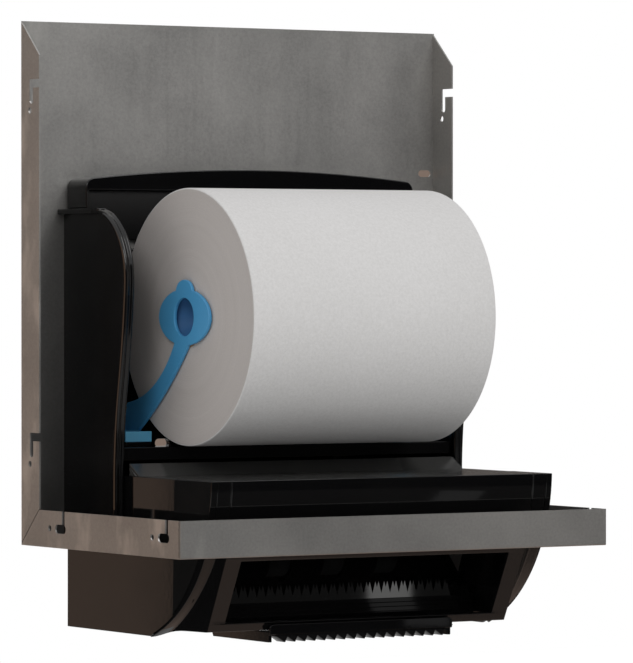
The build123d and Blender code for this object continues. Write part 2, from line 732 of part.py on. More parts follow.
for hand, side in hands.items():
    # Swing arm: ring with an eye and a finger tab, curved leg, knuckle at the foot
    with BuildPart() as roll_arm:
        with BuildSketch(Plane.YZ.offset(side * arm_inner)):
            with BuildLine():
                back_edge = ThreePointArc(*[arm_point(share) for share in arm_back_shares])
                front_edge = ThreePointArc(*[arm_point(share) for share in arm_front_shares])
                heel = roll_height + arm_heel_share * arm_rise
                Line(back_edge @ 0, front_edge @ 0)
                Polyline(
                    back_edge @ 1,
                    (-knuckle_rear, heel),
                    (-knuckle_rear, pin_height),
                    ((front_edge @ 1).X, pin_height),
                    front_edge @ 1,
                )
            make_face()
            with Locations(roll_centre):
                Ellipse(ring_half_width, ring_half_height)
            with BuildSketch(mode=Mode.PRIVATE) as tab:
                with BuildLine():
                    Polyline(
                        (-roll_depth - tab_width / 2, roll_height + tab_root),
                        (-roll_depth + tab_width / 2, roll_height + tab_root),
                        (-roll_depth + tab_tip_width / 2, roll_height + tab_top),
                        (-roll_depth - tab_tip_width / 2, roll_height + tab_top),
                        close=True,
                    )
                make_face()
                fillet(tab.vertices().group_by(Axis.Y)[-1], tab_corner)
            add(tab.sketch)
            with Locations(roll_centre):
                Circle(ring_eye, mode=Mode.SUBTRACT)
        extrude(amount=side * arm_wall)
        knuckle_centre = (side * pin_x, pin_height)
        rod_y(knuckle_centre, knuckle_radius, knuckle_rear, knuckle_front)
        rod_y(knuckle_centre, pin_radius + run_gap, knuckle_rear - overrun, knuckle_front + overrun, Mode.SUBTRACT)
    keep(roll_arm, f"{hand}_roll_arm")

    # Cup that enters the roll's core
    with BuildPart() as core_hub:
        axis_plane = Plane(origin=(0, -roll_depth, roll_height), x_dir=(1, 0, 0), z_dir=(0, -1, 0))
        seat_radius = core_bore - hub_gap
        cup = [
            (0, seat_radius),
            (hub_seat, seat_radius),
            (hub_depth, hub_tip),
            (hub_depth, 0),
            (hub_depth - hub_wall, 0),
            (hub_depth - hub_wall, hub_tip - hub_wall),
            (hub_seat, seat_radius - hub_wall),
            (0, seat_radius - hub_wall),
        ]
        with BuildSketch(axis_plane):
            with BuildLine():
                Polyline(*[(side * (arm_inner - inward), radius) for inward, radius in cup], close=True)
            make_face()
        revolve(axis=Axis((0, -roll_depth, roll_height), (1, 0, 0)))
    keep(core_hub, f"{hand}_core_hub")

    # Arm bracket: base with two lugs
    with BuildPart() as arm_bracket:
        reach = (side * arm_inner, side * (arm_inner + bracket_reach))
        rear_lug = (lug_rear - lug_wall, lug_rear)
        front_lug = (lug_front, lug_front + lug_wall)
        block(reach, (rear_lug[0], front_lug[1]), (boss_top, boss_top + bracket_base))
        for lug in (rear_lug, front_lug):
            block(reach, lug, (boss_top, pin_height + lug_top))
        pin_front = front_lug[1] - lug_blind
        rod_y(knuckle_centre, pin_radius + run_gap, rear_lug[0] - overrun, pin_front, Mode.SUBTRACT)
    keep(arm_bracket, f"{hand}_arm_bracket")

    with BuildPart() as arm_pin:
        rod_y(knuckle_centre, pin_radius, rear_lug[0], pin_front - run_gap)
    keep(arm_pin, f"{hand}_arm_pin")

    # Leaf spring that holds the arm against the roll
    with BuildPart() as arm_spring:
        base = boss_top + bracket_base
        foot_out = side * (arm_inner + bracket_reach)
        foot_in = side * (arm_inner + bracket_reach - leaf_foot)
        tip = side * (arm_outer + end_float)
        leaf_run = abs(tip - foot_in)
        leaf_slant = leaf_wall * hypot(leaf_run, leaf_rise) / leaf_rise
        leaf_bend = leaf_wall * leaf_run / leaf_rise
        with BuildSketch(Plane.XZ.offset(knuckle_rear + leaf_back)):
            with BuildLine():
                Polyline(
                    (foot_out, base),
                    (foot_in, base),
                    (tip, base + leaf_rise),
                    (tip + side * leaf_slant, base + leaf_rise),
                    (foot_in + side * (leaf_slant - leaf_bend), base + leaf_wall),
                    (foot_out, base + leaf_wall),
                    close=True,
                )
            make_face()
        extrude(amount=leaf_width)
    keep(arm_spring, f"{hand}_arm_spring")

# Feed roller: shaft, drum and rubber grips
with BuildPart() as feed_shaft:
    shaft_end = cheek_inner - shaft_inset
    rod_x(feed_centre, shaft_radius, -shaft_end, shaft_end)
keep(feed_shaft, "feed_shaft")

with BuildPart() as feed_drum:
    drum_radius = feed_radius - grip_wall
    rod_x(feed_centre, drum_radius, -drum_half, drum_half)
    rod_x(feed_centre, shaft_radius + run_gap, -drum_half - overrun, drum_half + overrun, Mode.SUBTRACT)
keep(feed_drum, "feed_drum")

with BuildPart() as feed_grips:
    grip_step = (2 * drum_half - grip_length) / (grip_count - 1)
    for index in range(grip_count):
        grip_from = -drum_half + index * grip_step
        rod_x(feed_centre, feed_radius, grip_from, grip_from + grip_length)
    rod_x(feed_centre, drum_radius + run_gap, -drum_half - overrun, drum_half + overrun, Mode.SUBTRACT)
keep(feed_grips, "feed_grips")


def bush_pair(centre):
    bore = shaft_radius + run_gap
    for side in hands.values():
        rod_x(centre, bore + bush_wall, side * (cheek_inner - bush_length), side * cheek_inner)
        shoulder = side * (cheek_inner - bush_flange_wall)
        rod_x(centre, bore + bush_wall + bush_flange, shoulder, side * cheek_inner)
    rod_x(centre, bore, -cheek_inner, cheek_inner, Mode.SUBTRACT)


with BuildPart() as feed_bushes:
    bush_pair(feed_centre)
keep(feed_bushes, "feed_bushes")

# Pinch roller behind the feed roller, on yokes under the deck
with BuildPart() as pinch_roller:
    rod_x(pinch_centre, pinch_radius, -pinch_half, pinch_half)
    rod_x(pinch_centre, pinch_pin + run_gap, -pinch_half - overrun, pinch_half + overrun, Mode.SUBTRACT)
keep(pinch_roller, "pinch_roller")

with BuildPart() as pinch_axle:
    rod_x(pinch_centre, pinch_pin, -pinch_reach, pinch_reach)
keep(pinch_axle, "pinch_axle")

yoke_top = deck_under(-pinch_centre[0] + yoke_front)
with BuildPart() as pinch_brackets:
    for side in hands.values():
        yoke_span = (side * yoke_inner, side * (yoke_inner + yoke_wall))
        yoke_depth = (-pinch_centre[0] - yoke_front, -pinch_centre[0] + yoke_front)
        block(yoke_span, yoke_depth, (feed_height - yoke_tail, yoke_top))
    rod_x(pinch_centre, pinch_pin + run_gap, -pinch_reach, pinch_reach, Mode.SUBTRACT)
keep(pinch_brackets, "pinch_brackets")

with BuildPart() as pinch_springs:
    leaf_low = (pinch_centre[0] + pinch_pin + pinch_leaf_gap, feed_height - yoke_tail)
    leaf_high = (pinch_centre[0] + yoke_front - leaf_wall, yoke_top)
    leaf_outline = [
        leaf_low,
        leaf_high,
        (leaf_high[0] + leaf_wall, leaf_high[1]),
        (leaf_low[0] + leaf_wall, leaf_low[1]),
    ]
    for side in hands.values():
        prism_x(leaf_outline, side * (yoke_inner + yoke_wall), side * pinch_reach)
keep(pinch_springs, "pinch_springs")


def tooth(centre, pitch_radius, tip_radius, root_radius, angle):
    base_radius = pitch_radius * cos(pressure_angle)

    def unwind(radius):
        lean = acos(min(1, base_radius / radius))
        return tan(lean) - lean

    half = (pi * gear_module / 2 - backlash) / (2 * pitch_radius) + unwind(pitch_radius)
    steps = 4
    start = max(base_radius, root_radius)
    radii = [start + (tip_radius - start) * step / steps for step in range(steps + 1)]
    flank = [(root_radius - backlash, half)] + [(radius, half - unwind(radius)) for radius in radii]
    around = [(radius, angle + turn) for radius, turn in flank]
    around += [(radius, angle - turn) for radius, turn in reversed(flank)]
    return [(centre[0] + radius * cos(turn), centre[1] + radius * sin(turn)) for radius, turn in around]


def gear_face(outline):
    with BuildLine() as rim:
        Polyline(*outline, close=True)
    make_face(rim.edges())


# Drive pinion: turns on the feed shaft through a one-way clutch
line_angle = atan2(feed_centre[1] - lever_centre[1], feed_centre[0] - lever_centre[0])
root_depth = root_share * gear_module
with BuildPart() as drive_pinion:
    pinion_root = feed_pitch - root_depth
    with BuildSketch(Plane.YZ.offset(gear_inner - pinion_extra)):
        with Locations(feed_centre):
            Circle(pinion_root)
        for index in range(pinion_teeth):
            angle = line_angle + pi + 2 * pi * (index + 0.5) / pinion_teeth
            gear_face(tooth(feed_centre, feed_pitch, feed_pitch + pinion_tip_share * gear_module, pinion_root, angle))
        with Locations(feed_centre):
            Circle(shaft_radius + run_gap, mode=Mode.SUBTRACT)
    extrude(amount=gear_wall + 2 * pinion_extra)
keep(drive_pinion, "drive_pinion")

# Sector gear on the lever's shaft
with BuildPart() as sector_gear:
    sector_root = sector_pitch - root_depth
    tooth_turn = 2 * pi / sector_teeth
    first_angle = line_angle - (sector_cut - sector_lead) * tooth_turn
    last_angle = line_angle + sector_lead * tooth_turn

    def rim_point(angle):
        return (lever_centre[0] + sector_root * cos(angle), lever_centre[1] + sector_root * sin(angle))

    with BuildSketch(Plane.YZ.offset(gear_inner)):
        with BuildLine():
            start = first_angle - tooth_turn / 2
            end = last_angle + tooth_turn / 2
            ThreePointArc(rim_point(start), rim_point((start + end) / 2), rim_point(end))
            Polyline(rim_point(start), lever_centre, rim_point(end))
        make_face()
        for index in range(sector_cut + 1):
            tip_radius = sector_pitch + sector_tip_share * gear_module
            gear_face(tooth(lever_centre, sector_pitch, tip_radius, sector_root, first_angle + index * tooth_turn))
        with Locations(lever_centre):
            Circle(gear_hub)
            Circle(shaft_radius + run_gap, mode=Mode.SUBTRACT)
    extrude(amount=gear_wall)
keep(sector_gear, "sector_gear")

# Feed lever: two arms, a shelf under the chin and the bar ahead of it
bar_rear = -nose(-bar_top_drop) + bar_clear
bar_front = bar_rear + bar_wall
with BuildPart() as feed_lever:
    knee = lever_depth + lever_knee_share * (guide_rear - lever_depth)
    boss_run = lever_boss * cos(lever_lean)
    boss_rise = lever_boss * sin(lever_lean)
    arm_outline = [
        (-bar_rear, lever_top),
        (-knee, lever_top),
        (lever_centre[0] - boss_run, lever_centre[1] + boss_rise),
        (lever_centre[0] + boss_run, lever_centre[1] - boss_rise),
        (-lever_depth, lever_bottom),
        (-bar_rear, lever_bottom),
    ]
    for side in hands.values():
        arm_span = (side * (lever_half - lever_arm_wall), side * lever_half)
        prism_x(arm_outline, *arm_span)
        rod_x(lever_centre, lever_boss, *arm_span)
    shelf_span = (bar_front - bar_shelf_depth, bar_front)
    block((-lever_half, lever_half), shelf_span, (lever_top - bar_shelf, lever_top))
    with BuildSketch(Plane.XZ.offset(bar_rear)):
        with Locations((0, (lever_top - bar_shelf - bar_top_drop) / 2)):
            RectangleRounded(2 * lever_half, bar_shelf - lever_top - bar_top_drop, bar_corner)
    extrude(amount=bar_wall)
    rod_x(lever_centre, shaft_radius + run_gap, -lever_half - overrun, lever_half + overrun, Mode.SUBTRACT)
keep(feed_lever, "feed_lever")

# Ribbed grip under the bar, between the arms
with BuildPart() as lever_grip:
    grip_top = lever_top - bar_shelf
    grip_half = grip_teeth * grip_pitch / 2
    with BuildSketch(Plane.XZ.offset(bar_front - grip_depth)):
        with BuildLine():
            saw = [(-grip_half, grip_top), (-grip_half, grip_top - grip_base)]
            for index in range(grip_teeth):
                left = -grip_half + index * grip_pitch
                saw += [
                    (left + grip_tooth_share * grip_pitch, lever_bottom),
                    (left + grip_pitch, grip_top - grip_base),
                ]
            saw += [(grip_half, grip_top)]
            Polyline(*saw, close=True)
        make_face()
    extrude(amount=grip_depth)
keep(lever_grip, "lever_grip")

with BuildPart() as lever_shaft:
    rod_x(lever_centre, shaft_radius, -shaft_end, shaft_end)
keep(lever_shaft, "lever_shaft")

with BuildPart() as lever_bushes:
    bush_pair(lever_centre)
keep(lever_bushes, "lever_bushes")

# Return spring: flat spiral round the lever's shaft, hooked on the cheek's peg
with BuildPart() as lever_spring:
    with BuildSketch(Plane.YZ.offset(-spring_outer_x)):
        with BuildLine():
            for index in range(2 * spring_turns):
                way = 1 if index % 2 == 0 else -1
                near = spring_start + index * spring_pitch / 2
                far = near + spring_pitch / 2
                middle = (lever_centre[0] + way * (near - far) / 2, lever_centre[1] + way * (near + far) / 2)
                ThreePointArc(
                    (lever_centre[0] + way * near, lever_centre[1]),
                    middle,
                    (lever_centre[0] - way * far, lever_centre[1]),
                )
        trace(line_width=spring_wall)
    extrude(amount=spring_width)
keep(lever_spring, "lever_spring")

# Throat guide: chute from the rollers, wall for the blade, ears to the nose
with BuildPart() as throat_guide:
    chute = [
        (-chute_top_depth, chute_top_height),
        (-guide_rear, -chute_end_drop),
        (-guide_front, -guide_top_drop),
        (-guide_front, -throat_bottom_drop),
        (-guide_rear, -throat_bottom_drop),
        (-guide_rear, -chute_end_drop - 2 * chute_wall),
        (-chute_top_depth + chute_wall, chute_top_height - chute_wall),
    ]
    prism_x(chute, -guide_half, guide_half)
    ear = [
        (-guide_rear, -throat_bottom_drop),
        (-guide_rear, -guide_ear_drop),
        (nose(-guide_ear_drop, housing_wall + butt_gap), -guide_ear_drop),
        (nose(-throat_bottom_drop, housing_wall + butt_gap), -throat_bottom_drop),
    ]
    for side in hands.values():
        prism_x(ear, side * guide_half, side * (guide_half + guide_ear_wall))
    for place in blade_screw_places:
        rod_y(place, blade_screw + screw_clear, guide_rear - overrun, guide_front + overrun, Mode.SUBTRACT)
keep(throat_guide, "throat_guide")

# Tear blade: twin-tipped teeth along the top
blade_front = guide_front + blade_wall
with BuildPart() as tear_blade:
    with BuildSketch(Plane.XZ.offset(guide_front)):
        with BuildLine():
            teeth = int(2 * blade_half / blade_pitch)
            comb_half = teeth * blade_pitch / 2
            comb = [(-blade_half, -throat_bottom_drop), (-blade_half, -blade_valley_drop)]
            for index in range(teeth):
                middle = -comb_half + (index + 0.5) * blade_pitch
                comb += [
                    (middle - blade_pitch / 2, -blade_valley_drop),
                    (middle - blade_twin / 2, -blade_tip_drop),
                    (middle, -blade_tip_drop - blade_notch),
                    (middle + blade_twin / 2, -blade_tip_drop),
                ]
            comb += [(comb_half, -blade_valley_drop), (blade_half, -blade_valley_drop)]
            comb += [(blade_half, -throat_bottom_drop)]
            Polyline(*comb, close=True)
        make_face()
        with Locations(*blade_screw_places):
            Circle(blade_screw + screw_clear, mode=Mode.SUBTRACT)
    extrude(amount=blade_wall)
keep(tear_blade, "tear_blade")

# Clamp bar: stepped ledge that holds the blade
with BuildPart() as blade_clamp:
    stair = [(-blade_front, -throat_bottom_drop - clamp_hang), (-blade_front, -clamp_top_drop)]
    step_fall = (throat_bottom_drop - clamp_top_drop) / clamp_steps
    for index in range(clamp_steps):
        step_depth = -(blade_front + clamp_lip + index * clamp_step)
        stair += [
            (step_depth, -clamp_top_drop - index * step_fall),
            (step_depth, -clamp_top_drop - (index + 1) * step_fall),
        ]
    stair += [(stair[-1][0], -throat_bottom_drop - clamp_hang)]
    prism_x(stair, -clamp_half, clamp_half)
    for place in blade_screw_places:
        rod_y(place, blade_screw + screw_clear, blade_front - overrun, blade_front + clamp_lip, Mode.SUBTRACT)
keep(blade_clamp, "blade_clamp")

# Rubber stops under the guide, where the lever's arms rest
with BuildPart() as lever_stops:
    stop_depth = (guide_rear + guide_front) / 2
    for side in hands.values():
        stop_place = (side * (lever_half - lever_arm_wall / 2), -stop_depth)
        rod_z(stop_place, stop_radius, lever_top + butt_gap, -throat_bottom_drop)
keep(lever_stops, "lever_stops")

# Screws: panel to plate, housing to tray, blade to guide
with BuildPart() as chassis_screws:
    for place in chassis_screw_places:
        rod_y(place, screw_head, panel_front, panel_front + screw_head_wall)
        rod_y(place, screw_radius, screw_clear, panel_front)
keep(chassis_screws, "chassis_screws")

with BuildPart() as housing_screws:
    for place in housing_screw_places:
        rod_z(place, screw_head, sheet, sheet + screw_head_wall)
        rod_z(place, screw_radius, -tray_clear - flange_wall, sheet)
keep(housing_screws, "housing_screws")

with BuildPart() as blade_screws:
    for place in blade_screw_places:
        rod_y(place, blade_screw_head, guide_rear - screw_head_wall, guide_rear)
        rod_y(place, blade_screw, guide_rear, blade_front + clamp_lip)
keep(blade_screws, "blade_screws")
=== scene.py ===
import bmesh
import bpy
import json
import math
import random
from mathutils import Matrix, Vector


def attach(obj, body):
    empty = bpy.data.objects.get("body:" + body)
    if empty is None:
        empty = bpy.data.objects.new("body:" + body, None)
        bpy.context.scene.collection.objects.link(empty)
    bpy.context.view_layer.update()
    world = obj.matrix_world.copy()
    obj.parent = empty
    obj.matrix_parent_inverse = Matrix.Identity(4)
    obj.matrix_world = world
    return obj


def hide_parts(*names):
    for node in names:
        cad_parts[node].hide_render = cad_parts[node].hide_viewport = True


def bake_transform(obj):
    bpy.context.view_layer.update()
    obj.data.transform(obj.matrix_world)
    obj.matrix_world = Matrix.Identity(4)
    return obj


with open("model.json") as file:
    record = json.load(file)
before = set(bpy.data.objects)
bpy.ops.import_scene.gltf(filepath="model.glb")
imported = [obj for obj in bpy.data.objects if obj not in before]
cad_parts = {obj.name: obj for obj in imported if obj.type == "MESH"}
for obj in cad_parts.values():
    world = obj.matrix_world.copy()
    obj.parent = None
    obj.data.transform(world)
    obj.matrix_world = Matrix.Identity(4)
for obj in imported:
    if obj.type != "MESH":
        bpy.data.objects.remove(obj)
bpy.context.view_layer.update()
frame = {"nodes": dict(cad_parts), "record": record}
mm = 0.001
slack = 0.05  # in mm, for finding points by their place
scene = bpy.context.scene
bodyOf = {node: body for body, nodes in frame["record"]["behaviour"]["bodies"].items() for node in nodes}
slotOf = {part["node"]: part["material_slot"] for part in frame["record"]["subparts"]}
hands = (("left", -1), ("right", 1))
print("frame loaded:", len(frame["nodes"]), "nodes")


# shader maths: a wire is one socket, a finish is one material
class Wire:
    def __init__(self, finish, socket):
        self.finish = finish
        self.socket = socket

    def maths(self, operation, first, second):
        return self.finish.node("ShaderNodeMath", {"operation": operation}, {0: first, 1: second})

    def __add__(self, other):
        return self.maths("ADD", self, other)

    def __radd__(self, other):
        return self.maths("ADD", other, self)

    def __sub__(self, other):
        return self.maths("SUBTRACT", self, other)

    def __rsub__(self, other):
        return self.maths("SUBTRACT", other, self)

    def __mul__(self, other):
        return self.maths("MULTIPLY", self, other)

    def __rmul__(self, other):
        return self.maths("MULTIPLY", other, self)

    def __pow__(self, other):
        return self.maths("POWER", self, other)


class Finish:
    def __init__(self, name):
        self.material = bpy.data.materials.new(name)
        self.material.use_nodes = True
        self.tree = self.material.node_tree
        self.shader = self.tree.nodes["Principled BSDF"]

    def plug(self, socket, value):
        if isinstance(value, Wire):
            self.tree.links.new(value.socket, socket)
        else:
            socket.default_value = value

    def node(self, kind, settings=None, sockets=None, out=0):
        made = self.tree.nodes.new(kind)
        for key, value in (settings or {}).items():
            if key == "stops":
                for stop, (spot, shade) in zip(made.color_ramp.elements, value):
                    stop.position = spot
                    stop.color = (shade, shade, shade, 1)
            else:
                setattr(made, key, value)
        for key, value in (sockets or {}).items():
            self.plug(made.inputs[key], value)
        return Wire(self, made.outputs[out])

    def set(self, **sockets):
        for key, value in sockets.items():
            self.plug(self.shader.inputs[socketNames[key]], value)

    def coords(self):
        return self.node("ShaderNodeTexCoord", out="Object")

    def split(self, where):
        parts = self.node("ShaderNodeSeparateXYZ", None, {0: where}).socket.node
        return [Wire(self, socket) for socket in parts.outputs]

    def noise(self, scale, detail=2.0, where=None, stretch=None, rough=0.5):
        where = where or self.coords()
        if stretch:
            where = self.node("ShaderNodeMapping", None, {"Vector": where, "Scale": stretch})
        return self.node("ShaderNodeTexNoise", None,
                         {"Vector": where, "Scale": scale, "Detail": detail, "Roughness": rough})

    # black below the low level, white above the high one
    def ramp(self, wire, low, high):
        return self.node("ShaderNodeValToRGB", {"stops": ((low, 0.0), (high, 1.0))}, {0: wire})

    # from one share to another over a span
    def fade(self, wire, span, first, last):
        return self.node("ShaderNodeMapRange", None, {0: wire, 1: span[0], 2: span[1], 3: first, 4: last})

    def tint(self, share, first, second):
        return self.node("ShaderNodeMix", {"data_type": "RGBA"}, {0: share, 6: first, 7: second}, out=2)

    def bump(self, height, strength, reach):
        return self.node("ShaderNodeBump", None,
                         {"Height": height, "Strength": strength, "Distance": reach})


socketNames = {
    "colour": "Base Color",
    "metal": "Metallic",
    "rough": "Roughness",
    "normal": "Normal",
    "specular": "Specular IOR Level",
}


def srgb(red, green, blue):
    def linear(level):
        level = level / 255
        return level / 12.92 if level <= 0.04045 else ((level + 0.055) / 1.055) ** 2.4

    return (linear(red), linear(green), linear(blue), 1.0)


def scaled(colour, share):
    return tuple(min(1, share * level) for level in colour[:3]) + (1,)


# finishes: noise scales are per metre, spans are places in metres
steelLook = {
    "dark": srgb(152, 151, 149), "pale": srgb(180, 178, 175), "metal": 0.86, "rough": 0.46,
    "clouds": 11, "grain": 520, "scratches": 240,
    "smear": srgb(222, 219, 214), "smears": 42, "smearSpan": (-0.174, -0.152), "smearShare": 0.55,
    # corner is the painted shade colour for the back plate's lower part
    "corner": srgb(84, 83, 82), "cornerShare": 0.68, "cornerUp": (0.03, 0.26),
    "cornerOut": (-0.1752, -0.1742), "cornerDeep": (-0.03, -0.004),
}
# deck is a paler copy of the black plastic's colour, painted light for the deck under the roll
plasticLook = {"colour": srgb(11, 11, 12), "deck": srgb(62, 62, 61), "dust": srgb(32, 31, 30),
               "specks": 1500, "haze": 16, "peel": 260}
blueLook = {"colour": srgb(88, 174, 226), "deep": srgb(78, 162, 216), "rough": 0.42,
            "flow": 38, "peel": 700}
paperLook = {"white": srgb(236, 235, 235), "grey": srgb(215, 214, 213),
             "fibres": 480, "crepe": 900, "soft": 9,
             "end": srgb(221, 215, 212), "endLine": srgb(181, 175, 171), "axis": (0, 106 * mm, -163 * mm),
             "layers": 1300, "bands": 120, "endFibres": 700}


def satinSteel():
    look = steelLook
    finish = Finish("satinSteel")
    across, deep, up = finish.split(finish.coords())
    clouds = finish.noise(look["clouds"], 4, rough=0.55)
    grain = finish.noise(look["grain"], 3, rough=0.7)
    scratches = finish.noise(look["scratches"], 2, stretch=(1, 1, 0.03))
    shade = finish.ramp(clouds, 0.34, 0.68) * 0.5 + finish.ramp(grain, 0.3, 0.7) * 0.5
    colour = finish.tint(shade, look["dark"], look["pale"])
    # painted shade: the back plate's colour darkens towards the bottom, standing in for the shade of the
    # black chassis
    corner = finish.fade(across, look["cornerOut"], 0.0, 1.0)
    corner = corner * finish.fade(up, look["cornerUp"], look["cornerShare"], 0.0)
    corner = corner * finish.fade(deep, look["cornerDeep"], 0.0, 1.0)
    colour = finish.tint(corner, colour, look["corner"])
    # paler patches along the left fold
    patches = finish.ramp(finish.noise(look["smears"], 3, stretch=(1, 1, 0.5)), 0.52, 0.7)
    smear = finish.fade(across, look["smearSpan"], 1.0, 0.0) * patches * look["smearShare"]
    uneven = (grain - 0.5) * 0.12 + (clouds - 0.5) * 0.16 + (scratches - 0.5) * 0.08
    finish.set(colour=finish.tint(smear, colour, look["smear"]), metal=look["metal"],
               rough=look["rough"] + uneven,
               normal=finish.bump(grain * 0.6 + scratches * 0.4, 0.10, 0.0004))
    return finish.material


def brightSteel(name, colour, rough):
    finish = Finish(name)
    lines = finish.noise(420, 3, stretch=(0.05, 1, 1))
    finish.set(colour=finish.tint(lines, colour, scaled(colour, 1.12)), metal=1.0,
               rough=rough + (lines - 0.5) * 0.4 * rough, normal=finish.bump(lines, 0.05, 0.0003))
    return finish.material


def glossBlack(name, specular, rough, colour):
    look = plasticLook
    finish = Finish(name)
    specks = finish.ramp(finish.noise(look["specks"], 1), 0.70, 0.80)
    haze = finish.ramp(finish.noise(look["haze"], 4, rough=0.6), 0.42, 0.75)
    peel = finish.noise(look["peel"], 2)
    finish.set(colour=finish.tint(specks * 0.35 + haze * 0.06, colour, look["dust"]),
               rough=rough + haze * 0.05 + specks * 0.15, specular=specular,
               normal=finish.bump(peel, 0.018, 0.0004))
    return finish.material


def bluePlastic():
    look = blueLook
    finish = Finish("bluePlastic")
    flow = finish.noise(look["flow"], 3)
    peel = finish.noise(look["peel"], 2)
    finish.set(colour=finish.tint(flow, look["deep"], look["colour"]),
               rough=look["rough"] + (flow - 0.5) * 0.1,
               specular=0.45, normal=finish.bump(peel, 0.05, 0.0003))
    return finish.material


def towelWrap():
    look = paperLook
    finish = Finish("towelWrap")
    fibres = finish.ramp(finish.noise(look["fibres"], 4, rough=0.75), 0.3, 0.7)
    crepe = finish.noise(look["crepe"], 2, stretch=(0.06, 1, 1))
    soft = finish.noise(look["soft"], 2)
    finish.set(colour=finish.tint(soft * 0.4 + fibres * 0.6, look["grey"], look["white"]),
               rough=0.92, specular=0.18,
               normal=finish.bump(fibres * 0.5 + crepe * 0.5, 0.22, 0.0005))
    return finish.material


def towelEnds():
    look = paperLook
    finish = Finish("towelEnds")
    centred = finish.node("ShaderNodeMapping", None, {"Vector": finish.coords(), "Location": look["axis"]})
    _, deep, up = finish.split(centred)
    radius = (deep * deep + up * up) ** 0.5
    ring = finish.node("ShaderNodeCombineXYZ", None, {0: radius})
    layers = finish.noise(look["layers"], 3, ring)
    bands = finish.noise(look["bands"], 2, ring)
    fibres = finish.noise(look["endFibres"], 3, rough=0.7)
    shade = layers * 0.35 + bands * 0.3 + fibres * 0.35
    finish.set(colour=finish.tint(shade, look["endLine"], look["end"]), rough=0.95, specular=0.12,
               normal=finish.bump(layers * 0.6 + fibres * 0.4, 0.25, 0.0005))
    return finish.material


def coreBoard():
    finish = Finish("coreBoard")
    fibres = finish.noise(300, 4, stretch=(0.2, 1, 1))
    finish.set(colour=finish.tint(fibres, srgb(150, 118, 86), srgb(186, 156, 120)), rough=0.9, specular=0.2,
               normal=finish.bump(fibres, 0.2, 0.0004))
    return finish.material


def plainMoulded(name, colour, rough, mottle):
    finish = Finish(name)
    flow = finish.noise(60, 3)
    peel = finish.noise(900, 2)
    finish.set(colour=finish.tint(flow, colour, scaled(colour, mottle)), rough=rough + (peel - 0.5) * 0.15,
               specular=0.4, normal=finish.bump(peel, 0.08, 0.0003))
    return finish.material


# the record's slots first, then finishes for single pieces
finishes = {
    "satin_steel": satinSteel(),
    "bright_steel": brightSteel("bladeSteel", srgb(132, 132, 131), 0.06),
    "spring_steel": brightSteel("springSteel", srgb(128, 127, 126), 0.34),
    "black_plastic": glossBlack("glossBlack", 0.4, 0.05, plasticLook["colour"]),
    "blue_plastic": bluePlastic(),
    "grey_plastic": plainMoulded("rollerGrey", srgb(120, 120, 122), 0.5, 0.82),
    "dark_nylon": plainMoulded("darkNylon", srgb(38, 38, 39), 0.5, 0.8),
    "grip_rubber": plainMoulded("gripRubber", srgb(30, 30, 31), 0.8, 0.7),
    "towel_paper": towelWrap(),
    "core_board": coreBoard(),
    "towelEnds": towelEnds(),
    "satinBlack": glossBlack("satinBlack", 0.3, 0.22, plasticLook["colour"]),
    # painted shade: a darker copy of the blue, for the shade deep inside the hub cups
    "hubBlue": plainMoulded("hubBlue", srgb(54, 112, 166), 0.6, 0.9),
    # painted light: the deck's black is paler than the chassis's, standing in for light on the deck under
    # the roll
    "deckBlack": glossBlack("deckBlack", 0.9, 0.16, plasticLook["deck"]),
    # painted light: a paler copy of the blue, lighting the arm brackets' feet in the side plate's shade
    "footBlue": plainMoulded("footBlue", srgb(116, 206, 250), 0.45, 0.92),
}
for nodeName, node in frame["nodes"].items():
    node.data.materials.clear()
    node.data.materials.append(finishes[slotOf[nodeName]])
print("finishes made:", len(finishes))


# building helpers
def place(piece, nodeName):
    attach(piece, bodyOf[nodeName])
    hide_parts(nodeName)


def pieceFrom(name, shape, materials, scale=1.0):
    mesh = bpy.data.meshes.new(name)
    shape.transform(Matrix.Diagonal((scale, scale, scale, 1)))
    shape.to_mesh(mesh)
    shape.free()
    for material in materials:
        mesh.materials.append(material)
    mesh.polygons.foreach_set("use_smooth", [True] * len(mesh.polygons))
    piece = bpy.data.objects.new(name, mesh)
    scene.collection.objects.link(piece)
    return piece


def roundEdges(piece, width, segments, sharp=32):
    edge = piece.modifiers.new("roundedEdges", "BEVEL")
    edge.width = width * mm
    edge.segments = segments
    edge.limit_method = "ANGLE"
    edge.angle_limit = math.radians(sharp)
    edge.use_clamp_overlap = False
    edge.harden_normals = True
    edge.miter_outer = "MITER_ARC"


def flatShade(piece):
    piece.modifiers.new("flatShading", "WEIGHTED_NORMAL").keep_sharp = True


# what the modifiers make becomes the piece's own mesh
def settle(piece):
    bpy.context.view_layer.update()
    seen = piece.evaluated_get(bpy.context.evaluated_depsgraph_get())
    mesh = bpy.data.meshes.new_from_object(seen)
    piece.modifiers.clear()
    piece.data = mesh
    return mesh


# flat faces keep their own shading, curved ones stay smooth
def markCreases(mesh, sharp=25, slight=0.9, large=1.5e-4):
    shape = bmesh.new()
    shape.from_mesh(mesh)
    for edge in shape.edges:
        if len(edge.link_faces) == 2:
            turn = math.degrees(edge.calc_face_angle(0))
            flats = min(face.calc_area() for face in edge.link_faces) > large
            edge.smooth = not (turn > sharp or (turn > slight and flats))
    shape.to_mesh(mesh)
    shape.free()


def nodeShape(nodeName):
    shape = bmesh.new()
    shape.from_mesh(frame["nodes"][nodeName].data)
    bmesh.ops.remove_doubles(shape, verts=shape.verts, dist=1e-6)
    bmesh.ops.dissolve_limit(shape, angle_limit=math.radians(0.4), verts=shape.verts, edges=shape.edges)
    return shape


# a CAD node's own shape with its edges rounded as a mould leaves them
def softened(nodeName, rounding, segments, reshape=None, finish=None):
    shape = nodeShape(nodeName)
    if reshape:
        reshape(shape)
    first, *others = nodeName.split("_")
    name = first + "".join(word.capitalize() for word in others)
    piece = pieceFrom(name, shape, [finishes[finish or slotOf[nodeName]]])
    markCreases(piece.data)
    roundEdges(piece, rounding, segments)
    place(piece, nodeName)


